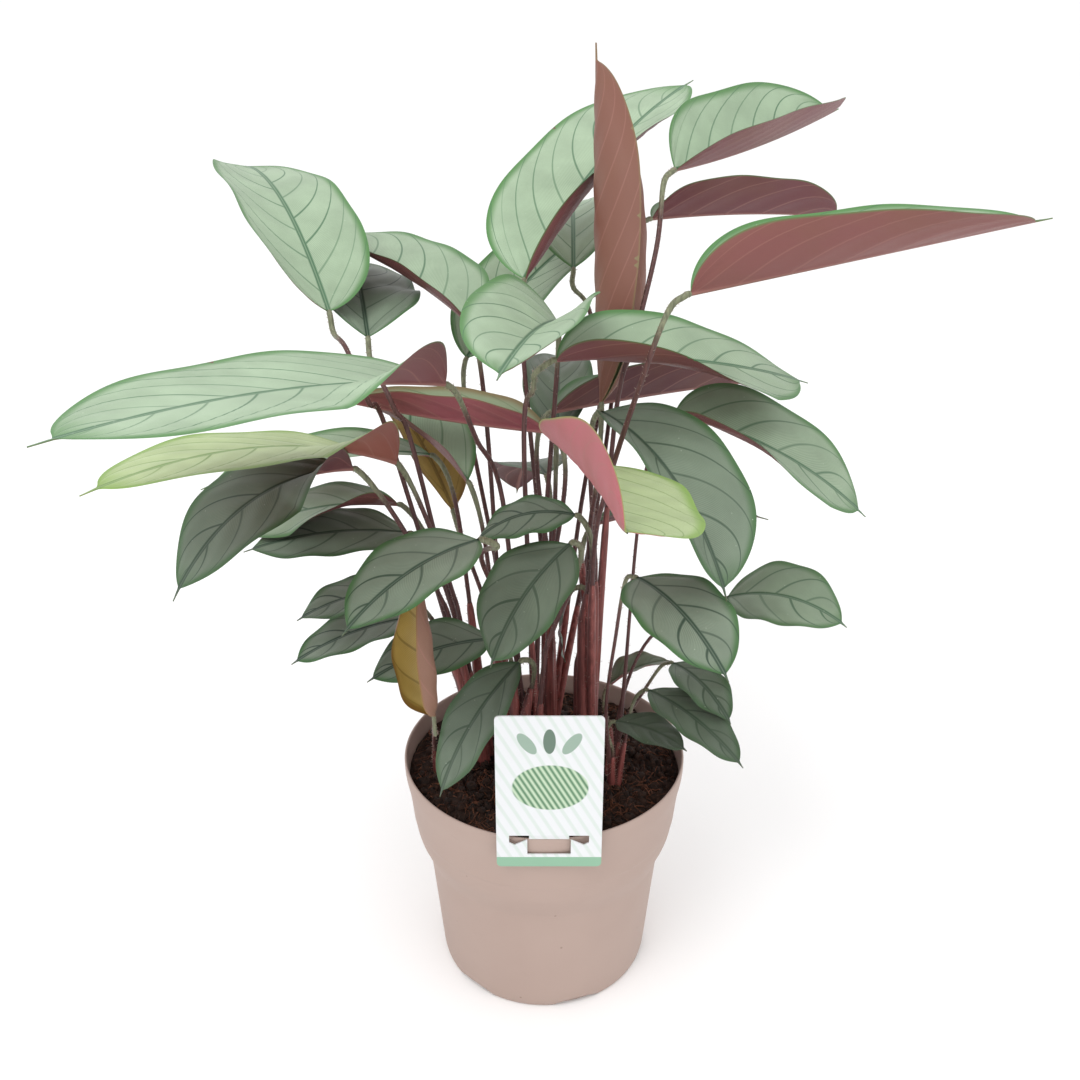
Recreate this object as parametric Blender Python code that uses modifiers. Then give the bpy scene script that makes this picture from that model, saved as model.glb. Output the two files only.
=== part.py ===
"""Potted ctenanthe: a nursery pot of long-stalked, folded leaves, with its plant tag.

Metres, +Z up. The origin is the middle of the pot's foot, and -Y is the front.
Sizes below are in millimetres and become metres as each mesh is made.
"""

import bmesh
import bpy
import numpy as np
from mathutils import Matrix, Vector

MM = 0.001
GAP = 0.3  # clearance between two pieces that touch
WELD = 0.004  # points closer than this become one after a union

# Pot
POT_HEIGHT = 148.0
RIM_RADIUS = 85.1
WALL = 1.5
SHOULDER_TOP, SHOULDER_FOOT = (99.0, 79.3), (79.0, 71.9)  # height, radius
FOOT_RADIUS = 65.2
FOOT_WIDTH = 9.0
FLOOR_HEIGHT = 5.0  # underside of the raised floor
PAD_RADIUS = 12.0  # the middle of the floor comes down to the surface in a round pad
PAD_SLOPE = 1.5
POT_STEPS = 32
ARCHES, ARCH_RADIUS = 6, 13.5
DRAINS, DRAIN_RADIUS = 6, 4.0

# Soil
SOIL_HEIGHT = 135.0
SOIL_CROWN = 5.0  # how far the middle stands above the edge
CROWN_DEPTH = 25.0  # how deep a shoot's crown reaches into the soil

# Tag
TAG_WIDTH, TAG_HEIGHT, TAG_THICK = 58.0, 100.0, 0.8
TAG_X, TAG_FOOT = 2.5, 130.0
TAG_SLOT_TOP = 151.5  # upper edge of the T-shaped cut, above the rim
TONGUE_WIDTH = 24.0

# Leaves
BLADE_THICK = 0.7
BLADE_BASE = 3.2  # width where the blade meets its petiole
WIDEST = 0.42  # share of the length at which a blade is widest
BODY_END = 0.95  # share at which the body runs out into the drip tip
# how blunt a blade is before and beyond its widest place, as two powers each
FORMS = {"rounded": ((2.6, 0.8), (2.4, 0.8)), "paddle": ((3.3, 0.62), (3.2, 0.66))}
DRIP_WIDTH = 1.6
PETIOLE = 1.5  # radius
PULVINUS = 22.0  # length of the bent joint below the blade
PETIOLE_POINTS = 7
NECK = 2.0  # straight end of the joint, in line with the blade
JOINT_RISE = 0.7  # how steeply a petiole comes up to its blade, as a slope

POT_TAUPE = (0.47, 0.34, 0.29)
SOIL_BROWN = (0.030, 0.016, 0.009)
TAG_WHITE = (0.80, 0.82, 0.80)
STEM_MAROON = (0.15, 0.055, 0.05)
SAGE = (0.36, 0.50, 0.36)
DARK_SAGE = (0.16, 0.24, 0.16)
YELLOW_GREEN = (0.42, 0.52, 0.22)
MAROON = (0.25, 0.09, 0.09)
WITHERED = (0.42, 0.27, 0.08)

# Each shoot: where its crown stands in the soil, the crown's radius, and the height at
# which its sheaths let go of the petioles.
SHOOTS = {
    "left": {"root": (-32, 0), "crown": 11, "sheath": 235},
    "back_left": {"root": (-21, 25), "crown": 9, "sheath": 230},
    "front": {"root": (-8, -16), "crown": 10, "sheath": 225},
    "back": {"root": (4, 22), "crown": 10, "sheath": 240},
    "main": {"root": (26, 0), "crown": 11, "sheath": 280},
    "right": {"root": (39.5, -20), "crown": 7.8, "sheath": 170},
    "rim": {"root": (-66, -8), "crown": 5, "sheath": 160},
}


def half(fold=5, tip_fold=0, curl=5, tip_curl=None, fade=1.0):
    """One half of a blade, in degrees: how steeply it folds up from the midrib and how much
    further it curls before its margin, at the base and then beyond the share of the length
    over which the base's own shape fades."""
    return {"fold": (fold, tip_fold), "curl": (curl, curl if tip_curl is None else tip_curl), "fade": fade}


def blade(shoot, base, tip, width, arch=8, bow=0, roll=0, left=None, right=None, colour=SAGE,
          share=0.5, via=(), rows=8, form="rounded"):
    """A blade and its petiole. The middle of the midrib stands arch above the straight line
    from base to tip and bow to its left. Roll, in degrees, lowers the left half."""
    return {
        "shoot": shoot, "base": base, "tip": tip, "width": width, "arch": arch, "bow": bow,
        "roll": roll, "left": left or half(), "right": right or half(), "colour": colour,
        "share": share, "via": via, "rows": rows, "form": form,
    }


LEAVES = {
    # high leaves
    "top_left": blade("left", (-119, 44, 409), (-194, 203, 461), 76, 20, form="paddle",
                      left=half(5, 5, 60, 20), right=half(0, -5),
                      via=((-84, 8, 345), (-94, 0, 372), (-106, 14, 397))),
    "top_left_inner": blade("back_left", (-43, 53, 401), (-142, 178, 424), 66, 5, share=0.43,
                            left=half(35, 10, 35, 10), right=half(20, 0), form="paddle"),
    "top_back": blade("back", (-11, 56, 424), (97, 228, 511), 76, 10, bow=5, share=0.6,
                      left=half(12, 0), right=half(14, 5, 115, 12, 0.75), form="paddle"),
    "top_right": blade("main", (71, 67, 481), (190, 214, 495), 78, -4, form="paddle",
                       left=half(48, 40, 15), right=half(30, 25, 20),
                       via=((38, 13, 350), (49, 21, 402), (60, 39, 446))),
    "back_high": blade("back", (18, 130, 412), (20, 260, 425), 58, 14, left=half(15, 10), right=half(15, 10),
                       via=((22, 60, 280), (35, 98, 345), (28, 120, 388))),
    "grey_left": blade("left", (-99, 48, 393), (-126, 185, 404), 70, 10, colour=DARK_SAGE,
                       left=half(30, 5, 10), right=half(20, -15, 5, 5, 0.5), form="paddle",
                       via=((-70, 4, 335), (-80, -1, 368), (-90, 12, 384))),
    "rolled_young": blade("main", (32, 33, 360), (29, 123, 541), 100, 0, roll=-60, share=0.5,
                          left=half(0, 0, 95, 140), right=half(0, 0, 210), colour=MAROON),
    # right
    "right_long": blade("main", (68, -55, 445), (238, -36, 476), 68, 0, form="paddle",
                        left=half(45, 8), right=half(55, 10, 50, 20),
                        via=((26, -34, 290), (31, -61, 350), (47, -64, 410))),
    "right_behind": blade("back", (66, 140, 440), (192, 178, 433), 66, 3, form="paddle",
                          left=half(10, 5), right=half(45, 35, 25, 20),
                          via=((32, 64, 280), (44, 105, 350), (57, 124, 405))),
    "right_upper": blade("front", (6, -15, 400), (147, 34, 371), 64, 8, bow=-7, share=0.49, form="paddle",
                         left=half(48, 8), right=half(0, -20, 110, 0, 0.75),
                         via=((-11, -12, 349), (-6, -14, 384))),
    "right_mid": blade("right", (70, 5, 363), (176, -10, 309), 62, 9, share=0.6, form="paddle",
                       left=half(25, 15), right=half(10, -15, 60, 0, 0.8)),
    "right_low": blade("right", (108, 15, 245), (172, -15, 242), 58, 10,
                       left=half(15, 12), right=half(-5, -5, 0), via=((46, -10, 190), (64, 4, 226))),
    "front_right": blade("right", (47, -70, 303), (86, -133, 281), 52, 8, colour=DARK_SAGE,
                         via=((35, -36, 200), (38, -54, 260))),
    "right_hidden": blade("main", (31, 30, 286), (133, 40, 284), 48, 8, colour=DARK_SAGE,
                          left=half(10, 0), right=half(35, 15, 15)),
    "right_under": blade("back", (4, 38, 352), (145, 114, 346), 56, 2, colour=DARK_SAGE, share=0.62,
                         left=half(10, 0), right=half(75, 60, 30)),
    # middle
    "front_heart": blade("front", (7, 23, 409), (-20, -144, 433), 66, 6, form="paddle",
                         left=half(28, 12, 20), right=half(55, 15)),
    "front_drooping": blade("main", (30, -8, 369), (88, -100, 306), 58, 18, colour=DARK_SAGE, share=0.62,
                            left=half(10, 5), right=half(30, 25), form="paddle"),
    "front_yellow": blade("main", (27, -66, 363), (28, -235, 408), 82, -6, colour=YELLOW_GREEN, share=0.46,
                          left=half(0, -12, 3), right=half(25, 75, 10, 30), form="paddle",
                          via=((24, -22, 290), (26, -48, 342))),
    "back_centre": blade("back_left", (-48, 117, 359), (40, 262, 411), 64, 10, form="paddle",
                         left=half(35, 15), right=half(15, 10)),
    "back_mid": blade("back", (7, 42, 335), (10, 165, 345), 44, 12, colour=DARK_SAGE,
                      left=half(15, 10), right=half(15, 10)),
    "back_low": blade("back", (1, 70, 300), (-18, 128, 262), 46, 14, colour=DARK_SAGE, rows=6),
    "hanging_dark": blade("main", (16, 15, 249), (13, 15, 200), 20, 5, colour=DARK_SAGE, rows=6),
    # left
    "left_long": blade("front", (-49, -50, 399), (-181, -222, 435), 78, 8, share=0.46, form="paddle",
                       left=half(45, 0, 60, 0, 0.45), right=half(12, -4),
                       via=((-22, -6, 310), (-36, -22, 360))),
    "left_yellow": blade("left", (-80, -10, 341), (-202, -134, 377), 66, 15, colour=YELLOW_GREEN,
                         left=half(60, 3, 40, 3, 0.4), right=half(0, -6, 3), form="paddle"),
    "left_pale": blade("left", (-67, 48, 322), (-195, 18, 313), 54, 10, left=half(15, 10), right=half(10, 5)),
    "left_dark": blade("left", (-100, -30, 346), (-180, -100, 306), 60, 20, colour=DARK_SAGE,
                       left=half(60, -3, 40, 3, 0.4), right=half(8, 5)),
    "left_low_upper": blade("left", (-84, 20, 303), (-182, 8, 286), 54, 8,
                            left=half(30, -5, 50, 5, 0.6), right=half(5, 0)),
    "left_low_under": blade("left", (-77, 5, 292), (-166, -15, 290), 54, 6, colour=DARK_SAGE,
                            left=half(0, -5, 0), right=half(5, 0)),
    "front_left": blade("front", (-32, -90, 334), (-93, -136, 308), 54, 8, colour=DARK_SAGE,
                        via=((-14, -10, 200), (-21, -20, 250), (-33, -52, 305))),
    "left_dull_upper": blade("left", (-82, -10, 263), (-137, -30, 255), 40, 5, colour=DARK_SAGE, rows=6),
    "left_dull_lower": blade("left", (-76, -15, 248), (-139, -45, 236), 40, 5, colour=DARK_SAGE, rows=6),
    "left_round": blade("front", (-30, -28, 242), (-97, -52, 229), 46, 6, colour=DARK_SAGE, share=0.42,
                        left=half(-12, -12, 0)),
    "front_dark": blade("front", (13, -50, 312), (-28, -85, 259), 56, 8, colour=DARK_SAGE),
    "inner_pale": blade("main", (16, -31, 320), (-37, -34, 306), 36, 8, colour=DARK_SAGE, rows=6,
                        left=half(-15, -15)),
    "inner_maroon": blade("back", (2, 5, 353), (-118, 22, 366), 46, -2, colour=MAROON, share=0.42,
                          left=half(60, 55, 10), right=half(25, 15)),
    "inner_left": blade("back_left", (-44, 26, 315), (-125, 74, 347), 58, 12,
                        left=half(40, 25, 15), right=half(20, 15)),
    "withering": blade("back_left", (-56, 61, 281), (-101, 120, 338), 44, 6, colour=WITHERED,
                       left=half(30, 20, 20), right=half(20, 20, 20), rows=6),
    "rolled_old": blade("rim", (-60, -66, 217), (-64, -72, 306), 48, 0, roll=180, colour=WITHERED,
                        left=half(0, 0, 130), right=half(0, 0, 130),
                        via=((-66, -9, 152), (-64, -32, 180), (-61, -56, 202))),
    # close over the soil
    "over_soil": blade("front", (-14, -30, 228), (-59, -62, 159), 42, 8, colour=DARK_SAGE, rows=6),
    "soil_small": blade("right", (41, -33, 190), (80, -53, 184), 28, 4, colour=DARK_SAGE, rows=6),
    "soil_right": blade("right", (60, -25, 206), (109, -70, 185), 34, 6, colour=DARK_SAGE, rows=6),
    "soil_narrow": blade("right", (75, -10, 215), (104, -50, 200), 30, 6, colour=DARK_SAGE, rows=6,
                         via=((46, -17, 175), (58, -15, 199))),
    "soil_maroon": blade("right", (40, 7, 190), (77, 17, 200), 30, 4, colour=MAROON, rows=6,
                         right=half(35, 20, 10)),
}


def clear_scene():
    for thing in list(bpy.data.objects):
        bpy.data.objects.remove(thing, do_unlink=True)


def new_collection(name):
    made = bpy.data.collections.new(name)
    bpy.context.scene.collection.children.link(made)
    return made


def new_material(name, colour, roughness=0.5):
    made = bpy.data.materials.new(name)
    made.use_nodes = True
    shader = made.node_tree.nodes["Principled BSDF"]
    shader.inputs["Base Color"].default_value = (*colour, 1.0)
    shader.inputs["Roughness"].default_value = roughness
    shader.inputs["Metallic"].default_value = 0.0
    return made


def new_object(name, data, collection, material=None):
    made = bpy.data.objects.new(name, data)
    collection.objects.link(made)
    if material:
        data.materials.append(material)
    return made


def mesh_from_bmesh(name, shape):
    data = bpy.data.meshes.new(name)
    shape.to_mesh(data)
    shape.free()
    return data


def mesh_from_curve(made):
    """A closed mesh object in place of a curve, with its end caps welded on."""
    graph = bpy.context.evaluated_depsgraph_get()
    data = bpy.data.meshes.new_from_object(made.evaluated_get(graph))
    shape = bmesh.new()
    shape.from_mesh(data)
    bmesh.ops.remove_doubles(shape, verts=shape.verts, dist=1e-6)
    bmesh.ops.recalc_face_normals(shape, faces=shape.faces)
    shape.to_mesh(data)
    shape.free()
    name, place, homes = made.name, made.matrix_world.copy(), list(made.users_collection)
    bpy.data.objects.remove(made)
    solid = bpy.data.objects.new(name, data)
    solid.matrix_world = place
    for home in homes:
        home.objects.link(solid)
    return solid


def turned(name, profile, collection, material, steps=POT_STEPS):
    """A solid of revolution: the profile of (radius, height) pairs carried round Z by a Screw."""
    data = bpy.data.meshes.new(name)
    points = [(radius * MM, 0.0, height * MM) for radius, height in profile]
    data.from_pydata(points, [(i, i + 1) for i in range(len(points) - 1)], [])
    made = new_object(name, data, collection, material)
    screw = made.modifiers.new("turn", "SCREW")
    screw.steps = screw.render_steps = steps
    screw.use_merge_vertices = True
    screw.merge_threshold = 0.00001
    return made


def boolean(made, operation, operand, solver="MANIFOLD"):
    cut = made.modifiers.new(operation.lower(), "BOOLEAN")
    cut.operation = operation
    cut.solver = solver
    if isinstance(operand, bpy.types.Collection):
        cut.operand_type = "COLLECTION"
        cut.collection = operand
    else:
        cut.object = operand
    return cut


def weld(made):
    """Joins the points that the cuts leave closer together than WELD."""
    joined = made.modifiers.new("weld", "WELD")
    joined.merge_threshold = WELD * MM


def bake_modifiers(made):
    graph = bpy.context.evaluated_depsgraph_get()
    data = bpy.data.meshes.new_from_object(made.evaluated_get(graph))
    made.modifiers.clear()
    made.data = data


def fuse(first, others, solver="MANIFOLD"):
    """Joins the other objects into the first by one Boolean union on their collection, and
    welds the slivers where they cross."""
    bench = new_collection("bench")
    for other in others:
        for collection in other.users_collection:
            collection.objects.unlink(other)
        bench.objects.link(other)
    boolean(first, "UNION", bench, solver)
    bpy.context.view_layer.update()
    bake_modifiers(first)
    shape = bmesh.new()
    shape.from_mesh(first.data)
    bmesh.ops.remove_doubles(shape, verts=shape.verts, dist=WELD * MM)
    bmesh.ops.dissolve_degenerate(shape, edges=shape.edges, dist=WELD * MM)
    bmesh.ops.triangulate(shape, faces=shape.faces)
    shape.to_mesh(first.data)
    shape.free()
    for other in others:
        bpy.data.objects.remove(other)
    bpy.data.collections.remove(bench)
    return first


def cutter(name, data, cutters):
    made = new_object(name, data, cutters)
    made.hide_render = True
    made.display_type = "WIRE"
    return made


def cylinder_mesh(name, radius, bottom, top, centre, sides=24, top_radius=None):
    shape = bmesh.new()
    bmesh.ops.create_cone(
        shape, cap_ends=True, segments=sides, radius1=radius * MM,
        radius2=(radius if top_radius is None else top_radius) * MM, depth=(top - bottom) * MM,
    )
    middle = Vector((centre[0], centre[1], (top + bottom) / 2)) * MM
    bmesh.ops.translate(shape, verts=shape.verts, vec=middle)
    return mesh_from_bmesh(name, shape)


def pot_outside():
    """Outer profile, top to bottom: a near-upright collar, a sloped shoulder and a tapered body."""
    return [
        (RIM_RADIUS, POT_HEIGHT),
        (RIM_RADIUS - 0.4, POT_HEIGHT - 11.0),
        (82.4, 124.0),
        SHOULDER_TOP[::-1],
        (76.2, 90.0),
        SHOULDER_FOOT[::-1],
        (67.0, 23.0),
        (FOOT_RADIUS, 5.0),
        (FOOT_RADIUS - 2.2, 0.0),
    ]


def inner_radius(height, clearance=0.0):
    heights = [h for _, h in pot_outside()][::-1]
    radii = [r for r, _ in pot_outside()][::-1]
    return float(np.interp(height, heights, radii)) - WALL - clearance


def make_pot(parts, cutters):
    foot_inner = FOOT_RADIUS - FOOT_WIDTH
    outside = pot_outside()
    floor = [
        (0.0, WALL), (PAD_RADIUS - 1.4, WALL), (PAD_RADIUS - 1.4 + PAD_SLOPE, FLOOR_HEIGHT + WALL),
        (foot_inner - 0.7, FLOOR_HEIGHT + WALL), (foot_inner + 1.0, WALL),
    ]
    inside = [(inner_radius(WALL) - 0.6, WALL)] + [(r - WALL, h) for r, h in outside[-2::-1]]
    underside = [
        (foot_inner, 0.0), (foot_inner - 1.5, FLOOR_HEIGHT), (PAD_RADIUS + PAD_SLOPE, FLOOR_HEIGHT),
        (PAD_RADIUS, 0.0), (0.0, 0.0),
    ]
    profile = floor + inside + outside + underside
    pot = turned("pot", profile, parts, new_material("pot_plastic", POT_TAUPE, 0.62))
    for i in range(ARCHES):
        angle = np.radians(-72 + 360 * i / ARCHES)
        shape = bmesh.new()
        bmesh.ops.create_cone(
            shape, cap_ends=True, segments=12, radius1=ARCH_RADIUS * MM,
            radius2=ARCH_RADIUS * MM, depth=2.4 * FOOT_WIDTH * MM,
        )
        bmesh.ops.scale(shape, verts=shape.verts, vec=(0.4, 1.0, 1.0))
        lie = Matrix.Rotation(angle, 4, "Z") @ Matrix.Rotation(np.pi / 2, 4, "Y")
        bmesh.ops.transform(shape, verts=shape.verts, matrix=lie)
        middle = Vector((*(np.array([np.cos(angle), np.sin(angle)]) * (FOOT_RADIUS - 4.0)), -0.6)) * MM
        bmesh.ops.translate(shape, verts=shape.verts, vec=middle)
        arch = cutter(f"arch_{i}", mesh_from_bmesh(f"arch_{i}", shape), cutters)
        boolean(pot, "DIFFERENCE", arch)
    for i in range(DRAINS):
        angle = 2 * np.pi * i / DRAINS
        centre = 40.0 * np.cos(angle), 40.0 * np.sin(angle)
        data = cylinder_mesh(f"drain_{i}", DRAIN_RADIUS, 0.0, 12.0, centre, 10)
        boolean(pot, "DIFFERENCE", cutter(f"drain_{i}", data, cutters))
    weld(pot)
    return pot


def soil_lumps(x, y):
    """Low lumps of the soil's surface, as a sum of crossed waves."""
    return 1.1 * np.sin(x / 9.0 + 1.3) * np.cos(y / 7.0) + 0.9 * np.sin((x + y) / 5.0)


def make_soil(parts, cutters):
    foot_inner = FOOT_RADIUS - FOOT_WIDTH
    edge = inner_radius(SOIL_HEIGHT, GAP)
    rings = [edge * (1 - i / 5) for i in range(1, 5)]
    crown = [(r, SOIL_HEIGHT + SOIL_CROWN * (1 - (r / edge) ** 2)) for r in rings]
    wall = [(inner_radius(h, GAP), h) for h in (SOIL_HEIGHT, 124.0, SHOULDER_TOP[0], 90.0, SHOULDER_FOOT[0], 6.0)]
    bottom = [
        (inner_radius(WALL + GAP, GAP) - 1.2, WALL + GAP),
        (foot_inner + 1.6, WALL + GAP),
        (foot_inner - 0.4, FLOOR_HEIGHT + WALL + GAP),
        (PAD_RADIUS - 1.7 + PAD_SLOPE, FLOOR_HEIGHT + WALL + GAP),
        (PAD_RADIUS - 1.7, WALL + GAP),
        (0.0, WALL + GAP),
    ]
    profile = [(0.0, SOIL_HEIGHT + SOIL_CROWN)] + crown[::-1] + wall + bottom
    soil = turned("soil", profile, parts, new_material("soil_mix", SOIL_BROWN, 0.9))
    bpy.context.view_layer.update()
    bake_modifiers(soil)
    count = len(soil.data.vertices)
    points = np.empty(count * 3, np.float32)
    soil.data.vertices.foreach_get("co", points)
    points = points.reshape(-1, 3)
    x, y = points[:, 0] / MM, points[:, 1] / MM
    inward = np.clip((edge - np.hypot(x, y)) / (0.2 * edge), 0, 1)
    top = points[:, 2] > (SOIL_HEIGHT - 1) * MM
    points[:, 2] += np.where(top, soil_lumps(x, y) * inward * MM, 0)
    soil.data.vertices.foreach_set("co", points.ravel())
    shape = bmesh.new()
    shape.from_mesh(soil.data)
    bmesh.ops.triangulate(shape, faces=shape.faces)
    shape.to_mesh(soil.data)
    shape.free()
    for name, shoot in SHOOTS.items():
        bottom = SOIL_HEIGHT - CROWN_DEPTH - GAP
        data = cylinder_mesh(f"hole_{name}", shoot["crown"] + GAP, bottom, 160.0, shoot["root"], 16)
        boolean(soil, "DIFFERENCE", cutter(f"hole_{name}", data, cutters))
    return soil


def flat_plate(name, outline, holes, thick, collection, material=None):
    """A plate in the XZ plane, its face at Y = 0: a filled 2D curve with half its thickness extruded."""
    curve = bpy.data.curves.new(name, "CURVE")
    curve.dimensions = "2D"
    curve.fill_mode = "BOTH"
    curve.extrude = thick / 2 * MM
    for points in [outline, *holes]:
        spline = curve.splines.new("POLY")
        spline.points.add(len(points) - 1)
        for point, (x, z) in zip(spline.points, points):
            point.co = (x * MM, z * MM, 0.0, 1.0)
        spline.use_cyclic_u = True
    made = new_object(name, curve, collection, material)
    made.matrix_world = Matrix.Rotation(np.pi / 2, 4, "X")
    bpy.context.view_layer.update()
    return mesh_from_curve(made)


def rounded_box(left, right, foot, top, radius, steps=3):
    """Corners of a box with rounded corners, anticlockwise from the lower right."""
    corners = ((right, foot, -90), (right, top, 0), (left, top, 90), (left, foot, 180))
    points = []
    for x, z, start in corners:
        middle_x = x - radius if x == right else x + radius
        middle_z = z - radius if z == top else z + radius
        for i in range(steps + 1):
            angle = np.radians(start + 90 * i / steps)
            points.append((middle_x + radius * np.cos(angle), middle_z + radius * np.sin(angle)))
    return points


def make_tag(parts):
    """The tag: a stiff card outside the rim, whose T-shaped tongue is bent over it to the inside."""
    half = TAG_WIDTH / 2
    outline = rounded_box(-half, half, TAG_FOOT, TAG_FOOT + TAG_HEIGHT, 2.5)
    stem = TONGUE_WIDTH / 2
    slot = [
        (-22.0, TAG_SLOT_TOP), (-22.0, TAG_SLOT_TOP - 5.0), (-19.0, TAG_SLOT_TOP - 6.5),
        (-stem, TAG_SLOT_TOP - 3.0), (-stem, TAG_SLOT_TOP - 13.0), (stem, TAG_SLOT_TOP - 13.0),
        (stem, TAG_SLOT_TOP - 3.0), (19.0, TAG_SLOT_TOP - 6.5), (22.0, TAG_SLOT_TOP - 5.0),
        (22.0, TAG_SLOT_TOP),
    ]
    material = new_material("tag_card", TAG_WHITE, 0.35)
    front = -(RIM_RADIUS + GAP + TAG_THICK / 2)
    card = flat_plate("label", outline, [slot], TAG_THICK, parts, material)
    card.data.transform(card.matrix_world)
    card.matrix_world = Matrix.Identity(4)
    card.data.transform(Matrix.Translation(Vector((TAG_X, front, 0.0)) * MM))
    # the tongue's section in the YZ plane, extruded across X
    reach = TONGUE_WIDTH / 2 + TAG_X
    inside = GAP - (inner_radius(POT_HEIGHT - 12.0) ** 2 - reach**2) ** 0.5
    over = POT_HEIGHT + GAP
    section = [
        (front - TAG_THICK / 2 + 0.2, TAG_SLOT_TOP + 1.5), (front - TAG_THICK / 2 + 0.2, TAG_SLOT_TOP - 0.6),
        (front + 0.6, over), (inside, over), (inside, over - 11.5), (inside + TAG_THICK, over - 11.5),
        (inside + TAG_THICK, over + TAG_THICK), (front + TAG_THICK / 2, over + 2.2),
        (front + TAG_THICK / 2 - 0.2, TAG_SLOT_TOP + 1.5),
    ]
    tongue = flat_plate("tongue", section, [], TONGUE_WIDTH - 2.0, parts)
    tongue.data.transform(tongue.matrix_world)
    tongue.matrix_world = Matrix.Identity(4)
    tongue.data.transform(Matrix.Rotation(np.pi / 2, 4, "Z"))
    tongue.data.transform(Matrix.Translation(Vector((TAG_X, 0.0, 0.0)) * MM))
    return fuse(card, [tongue])


def unit(vectors):
    return vectors / np.linalg.norm(vectors, axis=-1, keepdims=True)


def midrib(base, tip, arch, bow, t):
    """Points and directions along a parabola from base to tip that passes arch above and bow
    to the left of the middle of the straight line between them."""
    base, tip = np.array(base, float), np.array(tip, float)
    left = unit(np.cross((0.0, 0.0, 1.0), tip - base))
    rise = unit(np.cross(tip - base, left))
    bend = (base + tip) / 2 + 2 * (arch * rise + bow * left)
    t = t[:, None]
    points = (1 - t) ** 2 * base + 2 * t * (1 - t) * bend + t**2 * tip
    along = unit(2 * (1 - t) * (bend - base) + 2 * t * (tip - bend))
    return points, along


def width_share(t, form):
    """Share of the full width along a blade: blunt base, near-parallel sides, rounded end."""
    (near, near_end), (far, far_end) = FORMS[form]
    before = (1 - np.clip(1 - t / WIDEST, 0, 1) ** near) ** near_end
    after = (1 - np.clip((t - WIDEST) / (BODY_END - WIDEST), 0, 1) ** far) ** far_end
    return np.where(t < WIDEST, before, after)


def half_shape(side, t):
    """Fold and curl along one half, in radians."""
    base = np.clip(1 - t / side["fade"], 0, 1)
    fold, curl = (np.radians(side[key][1] + (side[key][0] - side[key][1]) * base) for key in ("fold", "curl"))
    return fold[:, None], np.maximum(curl, 0.002)[:, None]


def blade_points(leaf, across):
    """A blade as a grid. Each cross section is two arcs that leave the midrib: a half turns up
    by its fold at the midrib and by its curl more at the margin."""
    t = 0.5 - 0.5 * np.cos(np.pi * np.linspace(0, 1, leaf["rows"]))
    points, along = midrib(leaf["base"], leaf["tip"], leaf["arch"], leaf["bow"], t)
    side = unit(np.cross((0.0, 0.0, 1.0), along))
    up = np.cross(along, side)
    roll = np.radians(leaf["roll"])
    side, up = np.cos(roll) * side - np.sin(roll) * up, np.sin(roll) * side + np.cos(roll) * up
    s = np.linspace(-1, 1, across)[None, :]
    (left_fold, left_curl), (right_fold, right_curl) = (half_shape(leaf[key], t) for key in ("left", "right"))
    fold = np.where(s < 0, left_fold, right_fold)
    curl = np.where(s < 0, left_curl, right_curl)
    share = np.where(s < 0, leaf["share"], 1 - leaf["share"])
    least = np.where(t < WIDEST, BLADE_BASE / 2, DRIP_WIDTH / 2)[:, None]
    reach = np.maximum(leaf["width"] * share * width_share(t, leaf["form"])[:, None], least)
    far = fold + curl * np.abs(s)
    out = reach * (np.sin(far) - np.sin(fold)) / curl * -np.sign(s)
    rise = reach * (np.cos(fold) - np.cos(far)) / curl
    return points[:, None] + out[..., None] * side[:, None] + rise[..., None] * up[:, None]


def make_blade(name, leaf, parts):
    curled = max(leaf["left"]["curl"][0], leaf["right"]["curl"][0]) > 90
    across = 9 if curled else 5
    points = blade_points(leaf, across).reshape(-1, 3) * MM
    shape = bmesh.new()
    bmesh.ops.create_grid(shape, x_segments=across - 1, y_segments=leaf["rows"] - 1, size=1.0)
    for vert, place in zip(shape.verts, points):
        vert.co = place
    bmesh.ops.triangulate(shape, faces=shape.faces)
    made = new_object(name, mesh_from_bmesh(name, shape), parts, new_material(name, leaf["colour"], 0.4))
    wall = made.modifiers.new("thickness", "SOLIDIFY")
    wall.thickness = BLADE_THICK * MM
    wall.offset = 0.0
    return made


def tube(name, points, radii, collection):
    """A round tube through the points, in millimetres, as a closed mesh."""
    curve = bpy.data.curves.new(name, "CURVE")
    curve.dimensions = "3D"
    curve.bevel_depth = MM
    curve.bevel_resolution = 1
    curve.use_fill_caps = True
    spline = curve.splines.new("POLY")
    spline.points.add(len(points) - 1)
    for point, place, radius in zip(spline.points, points, radii):
        point.co = (*(np.array(place) * MM), 1.0)
        point.radius = radius
    made = new_object(name, curve, collection)
    bpy.context.view_layer.update()
    return mesh_from_curve(made)


def through(points, count):
    """Evenly spread points of a smooth curve through the given ones (Catmull-Rom)."""
    points = np.array(points, float)
    ends = np.vstack([2 * points[0] - points[1], points, 2 * points[-1] - points[-2]])
    s = np.linspace(0, len(points) - 1, count)
    i = np.minimum(s.astype(int), len(points) - 2)
    f = (s - i)[:, None]
    a, b, c, d = ends[i], ends[i + 1], ends[i + 2], ends[i + 3]
    return 0.5 * (2 * b + (c - a) * f + (2 * a - 5 * b + 4 * c - d) * f**2 + (3 * b - a - 3 * c + d) * f**3)


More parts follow.
